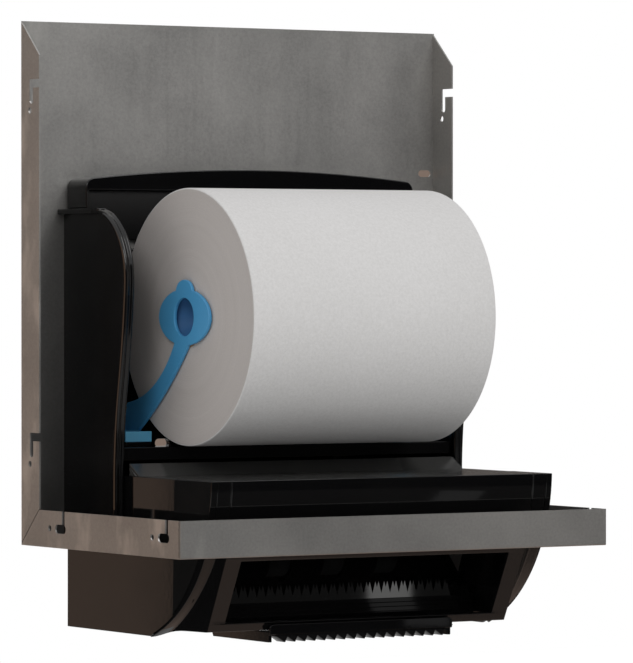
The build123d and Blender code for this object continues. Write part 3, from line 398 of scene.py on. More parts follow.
def threePointArc(first, middle, last, steps):
    ax, ay = first
    bx, by = middle
    cx, cy = last
    squares = [x * x + y * y for x, y in (first, middle, last)]
    twice = 2 * (ax * (by - cy) + bx * (cy - ay) + cx * (ay - by))
    ox = (squares[0] * (by - cy) + squares[1] * (cy - ay) + squares[2] * (ay - by)) / twice
    oy = (squares[0] * (cx - bx) + squares[1] * (ax - cx) + squares[2] * (bx - ax)) / twice
    radius = math.hypot(ax - ox, ay - oy)
    begin = math.atan2(ay - oy, ax - ox)
    through = (math.atan2(by - oy, bx - ox) - begin + math.pi) % math.tau - math.pi
    sweep = (math.atan2(cy - oy, cx - ox) - begin + math.pi) % math.tau - math.pi
    if through * sweep < 0:
        sweep += math.copysign(math.tau, through)
    turns = [begin + sweep * step / steps for step in range(steps + 1)]
    return [(ox + radius * math.cos(turn), oy + radius * math.sin(turn)) for turn in turns]


def gridFaces(shape, rows, closedAcross=False, material=0):
    faces = []
    for low, high in zip(rows, rows[1:]):
        count = len(low) if closedAcross else len(low) - 1
        for index in range(count):
            after = (index + 1) % len(low)
            faces.append(shape.faces.new((low[index], low[after], high[after], high[index])))
            faces[-1].material_index = material
    return faces


# a side outline of depths and heights, drawn out from one side to the other
def addPrism(shape, outline, first, last):
    rows = [[shape.verts.new((out, -depth, height)) for depth, height in outline] for out in (first, last)]
    gridFaces(shape, rows, closedAcross=True)
    for row in rows:
        shape.faces.new(row)


def addRoundedBox(shape, low, high, rounding):
    made = bmesh.ops.create_cube(shape, size=1)
    centre = [(first + second) / 2 for first, second in zip(low, high)]
    size = [second - first for first, second in zip(low, high)]
    bmesh.ops.transform(shape, verts=made["verts"],
                        matrix=Matrix.Translation(centre) @ Matrix.Diagonal((*size, 1)))
    edges = {edge for vert in made["verts"] for edge in vert.link_edges}
    bmesh.ops.bevel(shape, geom=list(edges), offset=rounding, segments=2, profile=0.5, affect="EDGES")


def cutAcross(shape, point, normal):
    everything = [*shape.verts, *shape.edges, *shape.faces]
    bmesh.ops.bisect_plane(shape, geom=everything, plane_co=point, plane_no=normal)


# the finger tab over the hub is domed
finger = {"depth": 106.0, "from": 183.5, "top": 189.0, "drop": 0.034, "shortest": 4.0, "cuts": 9}


def roundTab(shape):
    ends = [edge for edge in shape.edges if min(vert.co.z for vert in edge.verts) > finger["top"] * mm
            and edge.calc_length() > finger["shortest"] * mm]
    bmesh.ops.subdivide_edges(shape, edges=ends, cuts=finger["cuts"])
    for vert in shape.verts:
        if vert.co.z > finger["from"] * mm:
            off = vert.co.y / mm + finger["depth"]
            vert.co.z -= finger["drop"] * off * off * mm


# the cross rail runs from side plate to side plate
rail = {"behind": 70.0, "from": 130.0, "half": 138.9}


def widenRail(shape):
    for vert in shape.verts:
        if -vert.co.y > rail["behind"] * mm and abs(vert.co.x) > rail["from"] * mm:
            vert.co.x = math.copysign(rail["half"] * mm, vert.co.x)


# deck of the lower box: flat lid with a ramp up behind, and the pinch yokes tucked under it
deck = {"half": 136.3, "front": 205.2, "foot": 100.5, "rear": 86.2, "top": 51.5, "rise": 8.5, "wall": 2.5,
        "gap": 0.3, "lap": 0.1, "round": 0.5}


def deckUnder(depth):
    climb = min(1, max(0, (deck["foot"] - depth) / (deck["foot"] - deck["rear"])))
    return deck["top"] - deck["wall"] + deck["rise"] * climb


def tuckYoke(shape):
    for vert in shape.verts:
        vert.co.z = min(vert.co.z, (deckUnder(-vert.co.y / mm) - deck["gap"]) * mm)


def makeDeck():
    size = deck
    shape = bmesh.new()
    line = [size["front"], size["foot"], size["rear"]]
    outline = [(depth, deckUnder(depth)) for depth in line]
    outline += [(depth, deckUnder(depth) + size["wall"]) for depth in reversed(line)]
    addPrism(shape, outline, -size["half"], size["half"])
    # skirts that close the ramp at both sides
    low, high = deckUnder(size["foot"]), deckUnder(size["rear"])
    skirt = [(size["foot"], low + size["lap"]), (size["rear"], high + size["lap"]), (size["rear"], low)]
    for side in (-1, 1):
        addPrism(shape, skirt, side * (size["half"] - size["wall"]), side * size["half"])
    bmesh.ops.recalc_face_normals(shape, faces=shape.faces)
    piece = pieceFrom("deckCover", shape, [finishes["deckBlack"]], mm)
    markCreases(piece.data)
    roundEdges(piece, size["round"], 3)
    place(piece, "deck_cover")


# mouldings drawn from their node's own shape, with rounded edges
mouldings = {
    "back_panel": {"rounding": 0.9, "segments": 3},
    "roll_floor": {"rounding": 0.6, "segments": 2, "reshape": widenRail},
    "housing_back": {"rounding": 0.6, "segments": 2},
    "pinch_brackets": {"rounding": 0.3, "segments": 1, "reshape": tuckYoke},
    "left_roll_arm": {"rounding": 0.6, "segments": 3, "reshape": roundTab},
    "right_roll_arm": {"rounding": 0.6, "segments": 3, "reshape": roundTab},
    # the hubs take the darker blue, painted shade
    "left_core_hub": {"rounding": 0.4, "segments": 2, "finish": "hubBlue"},
    "right_core_hub": {"rounding": 0.4, "segments": 2, "finish": "hubBlue"},
    # the arm brackets take the paler blue, painted light
    "left_arm_bracket": {"rounding": 0.3, "segments": 2, "finish": "footBlue"},
    "right_arm_bracket": {"rounding": 0.3, "segments": 2, "finish": "footBlue"},
    "feed_lever": {"rounding": 0.45, "segments": 2},
}
makeDeck()
for nodeName, moulding in mouldings.items():
    softened(nodeName, **moulding)
print("mouldings rounded:", len(mouldings))


# leaf springs: the node's shape cut across into slices between the foot's height and the tip's
leafSpring = {"foot": (121.0, 77.5), "tip": (106.5, 95.5), "depth": 24.1, "cuts": 14}


def makeLeaf(hand, side):
    size = leafSpring
    node = f"{hand}_arm_spring"
    shape = nodeShape(node)
    foot, tip = [(side * out * mm, -size["depth"] * mm, height * mm)
                 for out, height in (size["foot"], size["tip"])]
    for step in range(size["cuts"] + 1):
        cutAcross(shape, (0, 0, foot[2] + (tip[2] - foot[2]) * step / size["cuts"]), (0, 0, 1))
    piece = pieceFrom(f"{hand}ArmSpring", shape, [finishes[slotOf[node]]])
    markCreases(piece.data)
    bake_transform(piece)
    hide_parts(node)


for hand, side in hands:
    makeLeaf(hand, side)


# side plates: flat wall, scored line, and a front rim drawn as two ridges with a groove between
sidePlate = {
    "depth": 100.0, "height": 240.0, "inner": 139.2, "outer": 141.5, "back": 1.3, "low": 1.4,
    # front line, as shares of the depth and the height
    "arcs": [
        [(0.615, 1.0), (0.866, 0.938), (1.0, 0.78)],
        [(1.0, 0.78), (0.959, 0.61), (0.905, 0.467)],
        [(0.905, 0.467), (0.861, 0.333), (0.845, 0.167)],
    ],
    "steps": 16, "ease": 3, "start": 55.0, "tuck": 2.0,
    "score": 62.0, "scoreDeep": 0.14, "scoreHalf": 0.4,
    "lipIn": 139.5, "lipOut": 147.0, "lipDepth": 60.0, "lipLow": 236.2, "lipRound": 0.7,
    # rim's section: distance out from the middle, then distance behind the plate's front line
    "section": [
        (139.2, 2.5), (139.25, 1.2), (139.75, 0.35), (140.5, 0.0), (141.4, 0.1), (142.1, 0.6),
        (142.7, 0.9), (143.4, 0.75), (144.1, 0.25), (144.9, 0.0), (145.8, 0.15), (146.5, 0.7),
        (146.95, 1.6), (147.0, 2.5), (146.6, 2.9), (142.2, 3.0), (141.6, 4.6), (139.2, 4.6),
    ],
}


def frontLine():
    size = sidePlate
    line = [(size["start"], size["height"])]
    for arc in size["arcs"]:
        corners = [(out * size["depth"], up * size["height"]) for out, up in arc]
        points = threePointArc(*corners, size["steps"])
        line += points if len(line) == 1 else points[1:]
    line.append((line[-1][0], size["low"]))
    # ease the joins of the arcs
    for _ in range(size["ease"]):
        eased = [((a[0] + 2 * b[0] + c[0]) / 4, (a[1] + 2 * b[1] + c[1]) / 4)
                 for a, b, c in zip(line, line[1:], line[2:])]
        line = [line[0], *eased, line[-1]]
    return line


# the same line, moved back square to its own run
def behindLine(line, behind):
    moved = []
    for index, (depth, height) in enumerate(line):
        before = line[max(index - 1, 0)]
        after = line[min(index + 1, len(line) - 1)]
        run, rise = after[0] - before[0], after[1] - before[1]
        length = math.hypot(run, rise)
        moved.append((depth + behind * rise / length, height - behind * run / length))
    return moved


def makeSidePlate(hand, side):
    size = sidePlate
    shape = bmesh.new()
    line = frontLine()
    ridges = [[(side * out, -depth, height) for depth, height in behindLine(line, behind)]
              for out, behind in size["section"]]
    rows = [[shape.verts.new(spot) for spot in spots] for spots in zip(*ridges)]
    gridFaces(shape, rows, closedAcross=True)
    shape.faces.new(rows[0])
    shape.faces.new(rows[-1])
    # wall, a little behind the rim's ridges
    outline = [(size["back"], size["low"]), (size["back"], size["height"] - size["tuck"])]
    outline += behindLine(line, size["tuck"])
    faces = [[shape.verts.new((side * out, -depth, height)) for depth, height in outline]
             for out in (size["inner"], size["outer"])]
    wall = [shape.faces.new(face) for face in faces]
    wall += gridFaces(shape, faces, closedAcross=True)
    for face in wall:
        face.material_index = 1
    # scored line down the wall
    for offset in (-size["scoreHalf"], 0, size["scoreHalf"]):
        cut = list({part for face in wall if face.is_valid for part in (face, *face.edges, *face.verts)})
        made = bmesh.ops.bisect_plane(shape, geom=cut, plane_co=(0, -size["score"] - offset, 0),
                                      plane_no=(0, 1, 0))
        wall = [part for part in made["geom"] if isinstance(part, bmesh.types.BMFace)]
    for vert in shape.verts:
        if abs(vert.co.y + size["score"]) < slack and abs(abs(vert.co.x) - size["outer"]) < slack:
            vert.co.x -= side * size["scoreDeep"]
    # ledge at the top
    first, last = sorted((side * size["lipIn"], side * size["lipOut"]))
    addRoundedBox(shape, (first, -size["lipDepth"], size["lipLow"]), (last, -size["back"], size["height"]),
                  size["lipRound"])
    bmesh.ops.recalc_face_normals(shape, faces=shape.faces)
    piece = pieceFrom(f"{hand}SidePlate", shape, [finishes["black_plastic"], finishes["satinBlack"]], mm)
    markCreases(piece.data, sharp=40)
    flatShade(piece)
    place(piece, f"{hand}_side_plate")


for hand, side in hands:
    makeSidePlate(hand, side)
print("side plates drawn")


# lower housing: curved box front, raked nose with the throat, and flares that roll over into the cheeks
housing = {
    "top": -0.4, "boxTop": 51.5, "half": 136.3, "wall": 2.5, "ledge": 2.4, "round": 0.5, "sharp": 35,
    "bellyDepth": 85.511, "bellyHeight": 55.7, "bellyRadius": 122.489, "bellyRows": 26,
    "seam": 125.0, "seamDeep": 0.5, "seamHalf": 0.4,
    "noseTop": 199.5, "noseRake": 27.2, "noseDrop": 54.489, "noseHalf": 124.0, "chinLip": 9.0, "rows": 20,
    "throatHalf": 111.0, "throatTop": -4.7, "throatLow": -48.989,
    # flares: a cove out to the shoulder, which rolls over to the edge
    "covePower": 2.2, "coveColumns": 8, "coveCrowd": 1.4, "shoulder": 134.5, "shoulderColumns": 8,
    "edge": 141.9, "proud": 1.2, "proudLeast": 0.4, "proudShare": 0.25, "tuck": 1.5,
    "drop": 59.489, "dropFrom": 128.5,
    # cheeks
    "cheek": 139.0, "cheekSkin": 137.1, "cheekProud": 142.0, "cheekTaper": 0.6, "cheekTrim": 2.8,
    "trimBelow": -1.0, "trimReach": 0.5, "creaseFrom": 157.0, "creaseTo": 158.5,
}


def bellyAt(height):
    rise = housing["bellyHeight"] - height
    return housing["bellyDepth"] + math.sqrt(housing["bellyRadius"] ** 2 - rise ** 2)


def dropShare(height):
    return (housing["top"] - height) / (housing["noseDrop"] + housing["top"])


def noseAt(height):
    return housing["noseTop"] - dropShare(max(height, -housing["noseDrop"])) * housing["noseRake"]


def flareAt(out, height):
    size = housing
    nose, belly = noseAt(height), bellyAt(height)
    proud = min(size["proud"], max(size["proudLeast"], size["proudShare"] * (nose - belly)))
    if out <= size["shoulder"]:
        share = (out - size["noseHalf"]) / (size["shoulder"] - size["noseHalf"])
        return nose - (nose - belly - proud) * (1 - (1 - share) ** size["covePower"])
    share = min(1, (out - size["shoulder"]) / (size["edge"] - size["shoulder"]))
    return belly - size["tuck"] + (proud + size["tuck"]) * math.sqrt(max(0, 1 - share * share))


def lowerEdge(out):
    size = housing
    share = min(1, max(0, (out - size["dropFrom"]) / (size["edge"] - size["dropFrom"])))
    return size["noseDrop"] + (size["drop"] - size["noseDrop"]) * share * share * (3 - 2 * share)


# an open sheet faces the front and gets its wall behind
def faceFront(shape):
    bmesh.ops.recalc_face_normals(shape, faces=shape.faces)
    front = min(shape.faces, key=lambda face: face.calc_center_median().y)
    if front.normal.y > 0:
        bmesh.ops.reverse_faces(shape, faces=shape.faces)


def thicken(piece):
    thick = piece.modifiers.new("wall", "SOLIDIFY")
    thick.thickness = housing["wall"] * mm
    thick.offset = -1


# the nose's own edges are rounded, the thin flares beside it are left as they are
def roundNose(piece):
    mesh = settle(piece)
    shape = bmesh.new()
    shape.from_mesh(mesh)
    reach = (housing["noseHalf"] + slack) * mm
    sharp = [edge for edge in shape.edges if edge.calc_face_angle(0) > math.radians(housing["sharp"])
             and max(abs(vert.co.x) for vert in edge.verts) < reach]
    bmesh.ops.bevel(shape, geom=sharp, offset=housing["round"] * mm, segments=2, profile=0.5,
                    affect="EDGES")
    shape.to_mesh(mesh)
    shape.free()
    markCreases(mesh, sharp=50, slight=50)
    flatShade(piece)


def makeFrontShell():
    size = housing
    shape = bmesh.new()
    openFrom, openTo = dropShare(size["throatTop"]), dropShare(size["throatLow"])
    levels = sorted({openFrom, openTo, *[step / size["rows"] for step in range(size["rows"] + 1)]})
    coveWidth = size["shoulder"] - size["noseHalf"]
    rollWidth = size["edge"] - size["shoulder"]
    outs = [size["throatHalf"]]
    for step in range(size["coveColumns"] + 1):
        outs.append(size["noseHalf"] + coveWidth * (step / size["coveColumns"]) ** size["coveCrowd"])
    for step in range(1, size["shoulderColumns"] + 1):
        outs.append(size["shoulder"] + rollWidth * math.sin(math.pi / 2 * step / size["shoulderColumns"]))

    def column(side, out):
        heights = [size["top"] - level * (lowerEdge(out) + size["top"]) for level in levels]
        depths = [noseAt(height) if out <= size["noseHalf"] else flareAt(out, height) for height in heights]
        return [shape.verts.new((side * out, -depth, height)) for depth, height in zip(depths, heights)]

    columns = [column(-1, out) for out in reversed(outs)] + [column(1, out) for out in outs]
    middle = len(outs) - 1
    for index, (first, second) in enumerate(zip(columns, columns[1:])):
        for row in range(len(levels) - 1):
            if index == middle and openFrom <= levels[row] < openTo:
                continue  # the throat
            shape.faces.new((first[row], first[row + 1], second[row + 1], second[row]))
    # chin turned back under the nose
    feet = [line[-1] for line in columns if abs(line[-1].co.x) <= size["noseHalf"] + slack]
    backs = [shape.verts.new((foot.co.x, foot.co.y + size["chinLip"], foot.co.z)) for foot in feet]
    for foot, back, nextBack, nextFoot in zip(feet, backs, backs[1:], feet[1:]):
        shape.faces.new((foot, back, nextBack, nextFoot))
    faceFront(shape)
    piece = pieceFrom("frontShell", shape, [finishes["black_plastic"]], mm)
    thicken(piece)
    roundNose(piece)
    place(piece, "front_shell")


# curved front of the box, with the ledge that carries the nose
def makeBoxFront():
    size = housing
    shape = bmesh.new()
    low = size["top"] - size["ledge"]
    across = [(-size["half"], 0), (size["half"], 0)]
    half = size["seamHalf"]
    for middle in (-size["seam"], size["seam"]):
        across += [(middle - half, 0), (middle, size["seamDeep"]), (middle + half, 0)]
    rows = []
    for step in range(size["bellyRows"] + 1):
        height = size["boxTop"] + (low - size["boxTop"]) * step / size["bellyRows"]
        depth = bellyAt(height)
        rows.append([shape.verts.new((out, deep - depth, height)) for out, deep in sorted(across)])
    gridFaces(shape, rows)
    inner = [shape.verts.new((vert.co.x, vert.co.y + size["wall"], vert.co.z)) for vert in rows[-1]]
    gridFaces(shape, [rows[-1], inner])
    faceFront(shape)
    piece = pieceFrom("boxFront", shape, [finishes["black_plastic"]], mm)
    thicken(piece)
    roundEdges(piece, size["round"], 2, size["sharp"])
    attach(piece, bodyOf["front_shell"])


# the cheek stands proud ahead of its crease, and below the tray its front edge draws back under the flare
def trimCheek(shape):
    size = housing
    for depth in (size["creaseFrom"], size["creaseTo"]):
        cutAcross(shape, (0, -depth * mm, 0), (0, 1, 0))
    for vert in shape.verts:
        depth, height = -vert.co.y / mm, vert.co.z / mm
        if abs(vert.co.x) > size["cheekSkin"] * mm:
            out = size["cheek"]
            if depth > size["creaseTo"] - slack:
                ahead = max(0, (depth - size["creaseTo"]) / (size["noseTop"] - size["creaseTo"]))
                out = size["cheekProud"] - size["cheekTaper"] * ahead
            vert.co.x = math.copysign(out * mm, vert.co.x)
        if height < size["trimBelow"] and abs(depth - bellyAt(height)) < size["trimReach"]:
            vert.co.y += size["cheekTrim"] * mm


makeFrontShell()
makeBoxFront()
for hand, _ in hands:
    softened(f"{hand}_cheek", housing["round"], 2, trimCheek)
print("lower housing drawn")


# towel roll: wound paper with a sheet's end down its back, slightly uneven ends
towel = {
    "centre": (106.0, 163.0), "radius": 91.25, "bore": 21.56, "half": 100.4, "round": 0.9, "roundSteps": 4,
    "around": 160, "rings": 44, "along": 40, "sheet": 0.28, "tailTurn": -0.6, "lap": 0.9995, "spiral": 0.4,
    "seed": 7, "wander": 0.16, "wanderFrom": 4, "dish": 0.35,
    "waver": 0.1, "waves": 5, "waveLevel": (0.02, 0.06), "waveLobes": (2, 7), "waveLean": 0.012,
}


def makeTowel():
    size = towel
    pick = random.Random(size["seed"])
    shape = bmesh.new()
    wander = [pick.uniform(-1, 1) for _ in range(size["rings"] + 1)]
    wander = [(a + b + c) / 3 for a, b, c in zip([0] + wander, wander, wander[1:] + [0])]
    waves = [(pick.uniform(*size["waveLevel"]), pick.uniform(0, math.tau), pick.randint(*size["waveLobes"]))
             for _ in range(size["waves"])]
    flat = size["half"] - size["round"]
    crown = size["radius"] - size["round"]

    def ringOf(out, radiusAt):
        depth, height = size["centre"]
        spots = [(radiusAt(turn), turn) for turn in turns]
        return [shape.verts.new((out, -depth + radius * math.cos(turn), height + radius * math.sin(turn)))
                for radius, turn in spots]

    def skin(turn, out):
        # the last turn lies over the one below and ends at the back
        share = ((turn - size["tailTurn"]) % math.tau) / math.tau
        waver = sum(level * math.sin(lobes * turn + lag + size["waveLean"] * out * lobes)
                    for level, lag, lobes in waves)
        return size["radius"] - size["sheet"] * share - size["waver"] * (1 + waver)

    turns = [size["tailTurn"] + math.tau * step / size["around"] for step in range(size["around"])]
    turns.append(size["tailTurn"] + math.tau * size["lap"])
    outs = [-flat + 2 * flat * step / size["along"] for step in range(size["along"] + 1)]
    wrap = [ringOf(out, lambda turn: skin(turn, out)) for out in outs]
    gridFaces(shape, wrap, closedAcross=True)
    bores = []
    for side, before in ((-1, wrap[0]), (1, wrap[-1])):
        # rounded rim
        for step in range(1, size["roundSteps"] + 1):
            bend = math.pi / 2 * step / size["roundSteps"]
            out = side * (flat + size["round"] * math.sin(bend))
            inset = size["round"] * (1 - math.cos(bend))
            ring = ringOf(out, lambda turn: skin(turn, out) - inset)
            gridFaces(shape, [before, ring], closedAcross=True)
            before = ring
        # wound end, in to the bore
        for step in range(1, size["rings"] + 1):
            share = step / size["rings"]
            radius = crown - share * (crown - size["bore"])
            sink = size["dish"] * math.sin(math.pi * share)
            sink += size["wander"] * (1 + wander[step]) * min(1, size["wanderFrom"] * share)
            spiral = size["spiral"] * (1 - share)
            ring = ringOf(side * (size["half"] - sink),
                          lambda turn: radius - spiral * ((turn - size["tailTurn"]) / math.tau))
            gridFaces(shape, [before, ring], closedAcross=True, material=1)
            before = ring
        bores.append(before)
    gridFaces(shape, bores, closedAcross=True, material=1)
    bmesh.ops.recalc_face_normals(shape, faces=shape.faces)
    piece = pieceFrom("towelRoll", shape, [finishes["towel_paper"], finishes["towelEnds"]], mm)
    markCreases(piece.data, sharp=50, slight=50)
    place(piece, "towel_roll")


makeTowel()
print("towel roll wound")


# rows of the same thing, by nodes: a unit shape set out along two steps
def rowTree():
    tree = bpy.data.node_groups.new("setOut", "GeometryNodeTree")
    tree.interface.new_socket("Geometry", in_out="INPUT", socket_type="NodeSocketGeometry")
    for name, kind in (("Count", "NodeSocketInt"), ("Step", "NodeSocketVector"), ("Rows", "NodeSocketInt"),
                       ("Row Step", "NodeSocketVector"), ("Finish", "NodeSocketMaterial")):
        tree.interface.new_socket(name, in_out="INPUT", socket_type=kind)
    tree.interface.new_socket("Geometry", in_out="OUTPUT", socket_type="NodeSocketGeometry")
    given = tree.nodes.new("NodeGroupInput")
    result = tree.nodes.new("NodeGroupOutput")
    shown = given.outputs["Geometry"]
    for count, step in (("Count", "Step"), ("Rows", "Row Step")):
        line = tree.nodes.new("GeometryNodeMeshLine")
        line.mode = "OFFSET"
        tree.links.new(given.outputs[count], line.inputs["Count"])
        tree.links.new(given.outputs[step], line.inputs["Offset"])
        copies = tree.nodes.new("GeometryNodeInstanceOnPoints")
        tree.links.new(line.outputs["Mesh"], copies.inputs["Points"])
        tree.links.new(shown, copies.inputs["Instance"])
        shown = copies.outputs["Instances"]
    real = tree.nodes.new("GeometryNodeRealizeInstances")
    tree.links.new(shown, real.inputs["Geometry"])
    dress = tree.nodes.new("GeometryNodeSetMaterial")
    tree.links.new(real.outputs["Geometry"], dress.inputs["Geometry"])
    tree.links.new(given.outputs["Finish"], dress.inputs["Material"])
    tree.links.new(dress.outputs["Geometry"], result.inputs["Geometry"])
    return tree


setOutTree = rowTree()


def setOut(name, unit, nodeName, crease, count, step, rows=1, rowStep=(0, 0, 0)):
    finish = finishes[slotOf[nodeName]]
    piece = pieceFrom(name, unit, [finish], mm)
    nodes = piece.modifiers.new("setOut", "NODES")
    nodes.node_group = setOutTree
    values = {"Count": count, "Step": [mm * level for level in step], "Rows": rows,
              "Row Step": [mm * level for level in rowStep], "Finish": finish}
    for item in setOutTree.interface.items_tree:
        if item.in_out == "INPUT" and item.name in values:
            nodes[item.identifier] = values[item.name]
    markCreases(settle(piece), sharp=crease, slight=crease)
    place(piece, nodeName)


# pan head with a cross recess, its axis along +Z and the seat at the origin; shares of radius and height
panShape = {"around": 24, "arm": 0.62, "armHalf": 0.13, "deep": 0.55, "taper": 0.9,
            "crown": [(1.0, 0.0), (1.0, 0.35), (0.93, 0.72), (0.76, 1.0)]}


def panHead(radius, height, shank, length):
    size = panShape
    shape = bmesh.new()

    def circle(out, up):
        turns = [math.tau * step / size["around"] for step in range(size["around"])]
        return [shape.verts.new((out * math.cos(turn), out * math.sin(turn), up)) for turn in turns]

    def fillBetween(*loops):
        edges = [shape.edges.get(pair) for loop in loops for pair in zip(loop, loop[1:] + loop[:1])]
        bmesh.ops.triangle_fill(shape, use_beauty=True, edges=edges)

    crown = [circle(out * radius, up * height) for out, up in size["crown"]]
    gridFaces(shape, crown, closedAcross=True)
    # the cross: twelve corners in the top, sunk to a floor
    arm, half = size["arm"] * radius, size["armHalf"] * radius
    corners = []
    for quarter in range(4):
        turn = Matrix.Rotation(math.pi / 2 * quarter, 4, "Z")
        for x, y in ((arm, -half), (arm, half), (half, half)):
            corners.append(turn @ Vector((x, y, height)))
    rim = [shape.verts.new(corner) for corner in corners]
    sunk = height * (1 - size["deep"])
    floor = [shape.verts.new((size["taper"] * corner.x, size["taper"] * corner.y, sunk))
             for corner in corners]
    gridFaces(shape, [rim, floor], closedAcross=True)
    shape.faces.new(floor)
    fillBetween(crown[-1], rim)
    foot = [circle(shank, up) for up in (0.0, -length)]
    gridFaces(shape, foot, closedAcross=True)
    shape.faces.new(foot[1])
    fillBetween(crown[0], foot[0])
    bmesh.ops.recalc_face_normals(shape, faces=shape.faces)
    return shape


# head and shank: radius, then height or length
screws = {
    "panelScrews": {"node": "chassis_screws", "head": (4.2, 2.2), "shank": (2.1, 5.0), "turn": 90,
                    "first": (-40.0, -5.1, 100.0), "count": 2, "step": (80.0, 0, 0),
                    "rows": 2, "rowStep": (0, 0, 130.0)},
    "trayScrews": {"node": "housing_screws", "head": (4.2, 2.2), "shank": (2.1, 4.6), "turn": 0,
                   "first": (-131.0, -60.0, 1.2), "count": 2, "step": (262.0, 0, 0),
                   "rows": 2, "rowStep": (0, 40.0, 0)},
    "bladeScrews": {"node": "blade_screws", "head": (2.8, 2.2), "shank": (1.5, 11.8), "turn": -90,
                    "first": (-79.92, -141.0, -45.489), "count": 3, "step": (79.92, 0, 0),
                    "rows": 1, "rowStep": (0, 0, 0)},
}
for name, screw in screws.items():
    unit = panHead(*screw["head"], *screw["shank"])
    upright = Matrix.Rotation(math.radians(screw["turn"]), 4, "X")
    unit.transform(Matrix.Translation(screw["first"]) @ upright)
    setOut(name, unit, screw["node"], 40, screw["count"], screw["step"], screw["rows"], screw["rowStep"])
print("screws set out")


# lever's grip: leaning ribs under the bar
leverGrip = {"count": 17, "half": 69.7, "pitch": 8.2, "top": -57.789, "base": 1.3, "low": -62.989,
             "front": 177.5, "deep": 11.0, "lean": 0.75, "blunt": (0.35, 0.2), "round": 0.22, "sharp": 0.6}


def makeGrip():
    size = leverGrip
    unit = bmesh.new()
    left, right = -size["half"], size["pitch"] - size["half"]
    tip = left + size["lean"] * size["pitch"]
    root = size["top"] - size["base"]
    profile = [(left, size["top"]), (left, root), (tip - size["blunt"][0], size["low"]),
               (tip + size["blunt"][1], size["low"]), (right, root), (right, size["top"])]
    rows = [[unit.verts.new((x, -depth, z)) for x, z in profile]
            for depth in (size["front"], size["front"] - size["deep"])]
    gridFaces(unit, rows, closedAcross=True)
    unit.faces.new(rows[0])
    unit.faces.new(rows[1])
    bmesh.ops.recalc_face_normals(unit, faces=unit.faces)
    sharp = [edge for edge in unit.edges if edge.calc_face_angle(0) > size["sharp"]
             and max(vert.co.z for vert in edge.verts) < size["top"] - slack]
    bmesh.ops.bevel(unit, geom=sharp, offset=size["round"], segments=2, profile=0.5, affect="EDGES")
    setOut("leverGrip", unit, "lever_grip", 30, size["count"], (size["pitch"], 0, 0))


makeGrip()
print("grip ribs set out")


# blade clamp: stepped ledge up to the roots of the teeth
bladeClamp = {"half": 109.0, "back": 150.5, "top": -37.0, "low": -52.189, "lip": 2.3, "step": 1.2,
              "stairs": 4, "stairLow": -48.989, "round": 0.25}


def makeClamp():
    size = bladeClamp
    shape = bmesh.new()
    fall = (size["top"] - size["stairLow"]) / size["stairs"]
    stair = [(size["back"], size["low"]), (size["back"], size["top"])]
    for index in range(size["stairs"]):
        depth = size["back"] + size["lip"] + (index - 1) * size["step"]
        stair += [(depth, size["top"] - index * fall), (depth, size["top"] - (index + 1) * fall)]
    stair.append((stair[-1][0], size["low"]))
    addPrism(shape, stair, -size["half"], size["half"])
    bmesh.ops.recalc_face_normals(shape, faces=shape.faces)
    piece = pieceFrom("bladeClamp", shape, [finishes[slotOf["blade_clamp"]]], mm)
    markCreases(piece.data)
    roundEdges(piece, size["round"], 2)
    place(piece, "blade_clamp")


makeClamp()
print("blade clamp drawn")


# camera at the photograph's place
viewpoint = {"place": (-1.88404, -3.13857, 0.18891), "yaw": 31.943, "pitch": -0.586, "lens": 271.2,
             "sensor": 36, "far": 100}


def addCamera():
    data = bpy.data.cameras.new("camera")
    data.lens = viewpoint["lens"]
    data.sensor_width = viewpoint["sensor"]
    data.clip_end = viewpoint["far"]
    camera = bpy.data.objects.new("camera", data)
    camera.location = viewpoint["place"]
    camera.rotation_euler = (math.radians(90 + viewpoint["pitch"]), 0, -math.radians(viewpoint["yaw"]))
    scene.collection.objects.link(camera)
    scene.camera = camera


# studio: soft lamps, a pale floor, and cards that only reflections see
lamps = {
    "keyLamp": {"place": (0.7, -1.8, 2.2), "size": 1.7, "power": 20, "colour": (1.0, 0.995, 0.99)},
    "leftFill": {"place": (-2.1, -1.9, 1.7), "size": 1.1, "power": 15, "colour": (1.0, 0.985, 0.975)},
}
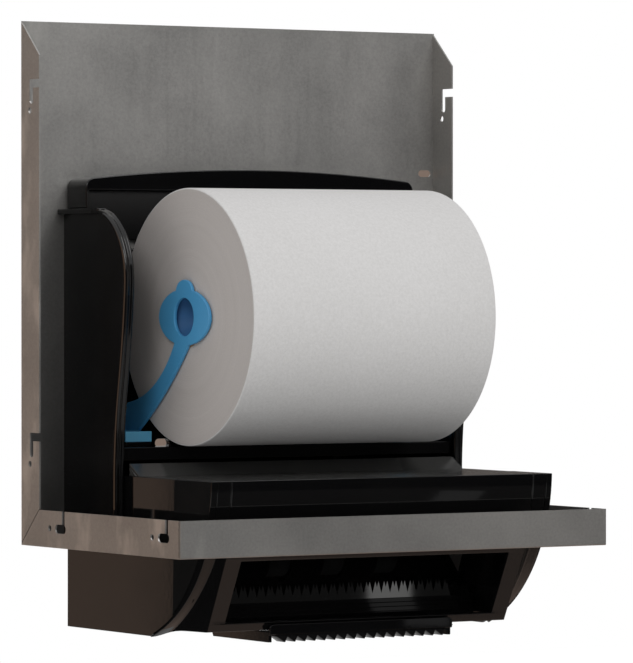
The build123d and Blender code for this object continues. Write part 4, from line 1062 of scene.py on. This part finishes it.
# a card stands and faces the object, unless it lies on the floor at a turn
cards = {
    "frontFlag": {"place": (1.37, -2.2, 0.1), "size": (2.2, 2.0), "glow": (0.018, 0.018, 0.018)},
    "frontFloorFlag": {"place": (0.87, -1.38, -0.46), "size": (0.85, 2.2), "glow": (0.08, 0.077, 0.074),
                       "lies": 32},
    "leftCard": {"place": (-0.62, 2.92, -0.55), "size": (2.4, 1.6), "glow": (0.44, 0.315, 0.245)},
    "leftFlag": {"place": (-2.05, 2.95, 0.2), "size": (2.6, 2.6), "glow": (0.05, 0.048, 0.046)},
    "leftFloorFlag": {"place": (-1.25, 1.0, -0.46), "size": (1.7, 2.2), "glow": (0.03, 0.029, 0.028),
                      "lies": 0},
    "warmWall": {"place": (-3.6, 1.1, 0.2), "size": (4.0, 3.0), "glow": (1.3, 0.8, 0.52)},
    "nearFlag": {"place": (-1.1, -2.65, 0.0), "size": (1.7, 2.4), "glow": (0.02, 0.02, 0.02)},
    "sideFlag": {"place": (-2.5, -1.55, -0.1), "size": (2.2, 1.6), "glow": (0.03, 0.03, 0.03)},
    "rightFlag": {"place": (2.4, 0.6, -0.2), "size": (4.2, 1.8), "glow": (0.09, 0.075, 0.065)},
    "rightFloorFlag": {"place": (1.25, 0.4, -0.46), "size": (1.4, 2.2), "glow": (0.07, 0.058, 0.05),
                       "lies": 0},
    "highFlag": {"place": (1.4, 0.83, 2.0), "size": (2.4, 2.2), "glow": (0.12, 0.12, 0.12)},
    "deckCard": {"place": (1.25, 2.78, 0.1), "size": (1.7, 1.6), "glow": (0.3, 0.29, 0.28)},
    "floorCard": {"place": (0.405, -0.3, -0.46), "size": (0.89, 0.85), "glow": (0.52, 0.395, 0.33),
                  "lies": 0},
    "coveFlag": {"place": (-0.495, -0.42, -0.46), "size": (0.89, 1.5), "glow": (0.03, 0.028, 0.027),
                 "lies": 0},
    "bladeCard": {"place": (0.22, -0.43, -0.052), "size": (0.034, 0.05), "glow": (0.36, 0.36, 0.36)},
}
# the glow of the sheet behind the slots is painted light for a shaded beige surface
board = {"place": (0.01725, 0.0004, 0.19), "size": (0.3145, 0.36), "glow": (0.2, 0.15, 0.122)}
paleFloor = {"place": (0, 0, -0.5), "size": (9, 9), "colour": (0.82, 0.82, 0.81, 1), "rough": 0.9,
             "lift": 0.62}
skyLevel = {"light": 0.46, "seen": 1.0}
aim = Vector((0, -0.1, 0.15))
upwards = Vector((0, 0, 1))


def glowing(name, colour):
    material = bpy.data.materials.new(name)
    material.use_nodes = True
    tree = material.node_tree
    tree.nodes.clear()
    glow = tree.nodes.new("ShaderNodeEmission")
    glow.inputs["Color"].default_value = (*colour, 1)
    tree.links.new(glow.outputs[0], tree.nodes.new("ShaderNodeOutputMaterial").inputs[0])
    return material


# a stage sheet's shader, clear from behind
def clearBehind(tree, shown):
    both = tree.nodes.new("ShaderNodeMixShader")
    tree.links.new(tree.nodes.new("ShaderNodeNewGeometry").outputs["Backfacing"], both.inputs[0])
    tree.links.new(shown, both.inputs[1])
    tree.links.new(tree.nodes.new("ShaderNodeBsdfTransparent").outputs[0], both.inputs[2])
    tree.links.new(both.outputs[0], tree.nodes["Material Output"].inputs["Surface"])


def flatSheet(name, sheet, normal, material, hiddenFrom=()):
    shape = bmesh.new()
    bmesh.ops.create_grid(shape, x_segments=1, y_segments=1, size=0.5)
    turn = normal.to_track_quat("Z", "Y").to_matrix().to_4x4()
    turn = turn @ Matrix.Rotation(math.radians(sheet.get("lies", 0)), 4, "Z")
    shape.transform(Matrix.Translation(sheet["place"]) @ turn @ Matrix.Diagonal((*sheet["size"], 1, 1)))
    piece = pieceFrom(name, shape, [material])
    for ray in hiddenFrom:
        setattr(piece, f"visible_{ray}", False)


def addLamps():
    for name, lamp in lamps.items():
        data = bpy.data.lights.new(name, "AREA")
        data.shape = "DISK"
        data.size = lamp["size"]
        data.energy = lamp["power"]
        data.color = lamp["colour"]
        light = bpy.data.objects.new(name, data)
        light.location = lamp["place"]
        light.rotation_euler = (aim - Vector(lamp["place"])).to_track_quat("-Z", "Y").to_euler()
        scene.collection.objects.link(light)


def addCards():
    for name, card in cards.items():
        level = (aim - Vector(card["place"])) * Vector((1, 1, 0))
        normal = upwards if "lies" in card else level.normalized()
        flatSheet(name, card, normal, glowing(name, card["glow"]),
                  ("camera", "diffuse", "transmission", "shadow"))


# pale for the camera, keeps the shadow
def addFloor():
    finish = Finish("paleFloor")
    finish.set(colour=paleFloor["colour"], rough=paleFloor["rough"])
    tree = finish.tree
    lift = tree.nodes.new("ShaderNodeEmission")
    finish.plug(lift.inputs["Strength"],
                finish.node("ShaderNodeLightPath", out="Is Camera Ray") * paleFloor["lift"])
    both = tree.nodes.new("ShaderNodeAddShader")
    tree.links.new(finish.shader.outputs[0], both.inputs[0])
    tree.links.new(lift.outputs[0], both.inputs[1])
    clearBehind(tree, both.outputs[0])
    flatSheet("floor", paleFloor, upwards, finish.material)


# a glowing sheet behind the wall slots; its glow is painted light, the look of a beige surface in shade
def addSlotGlow():
    material = glowing("board", board["glow"])
    clearBehind(material.node_tree, material.node_tree.nodes["Emission"].outputs[0])
    flatSheet("board", board, Vector((0, -1, 0)), material, ("diffuse", "glossy", "shadow"))


# white where it is seen or mirrored, softer where it lights
def addWorld():
    world = bpy.data.worlds.new("studio")
    scene.world = world
    world.use_nodes = True
    tree = world.node_tree
    path = tree.nodes.new("ShaderNodeLightPath")
    seen = path.outputs["Is Camera Ray"]
    for ray in ("Is Glossy Ray", "Is Transmission Ray"):
        either = tree.nodes.new("ShaderNodeMath")
        either.operation = "MAXIMUM"
        tree.links.new(seen, either.inputs[0])
        tree.links.new(path.outputs[ray], either.inputs[1])
        seen = either.outputs[0]
    level = tree.nodes.new("ShaderNodeMapRange")
    level.inputs["To Min"].default_value = skyLevel["light"]
    level.inputs["To Max"].default_value = skyLevel["seen"]
    tree.links.new(seen, level.inputs["Value"])
    back = tree.nodes["Background"]
    tree.links.new(level.outputs[0], back.inputs["Strength"])
    back.inputs["Color"].default_value = (1, 1, 1, 1)


addCamera()
addLamps()
addCards()
addFloor()
addSlotGlow()
addWorld()
scene.view_settings.view_transform = "Standard"
print("studio set")
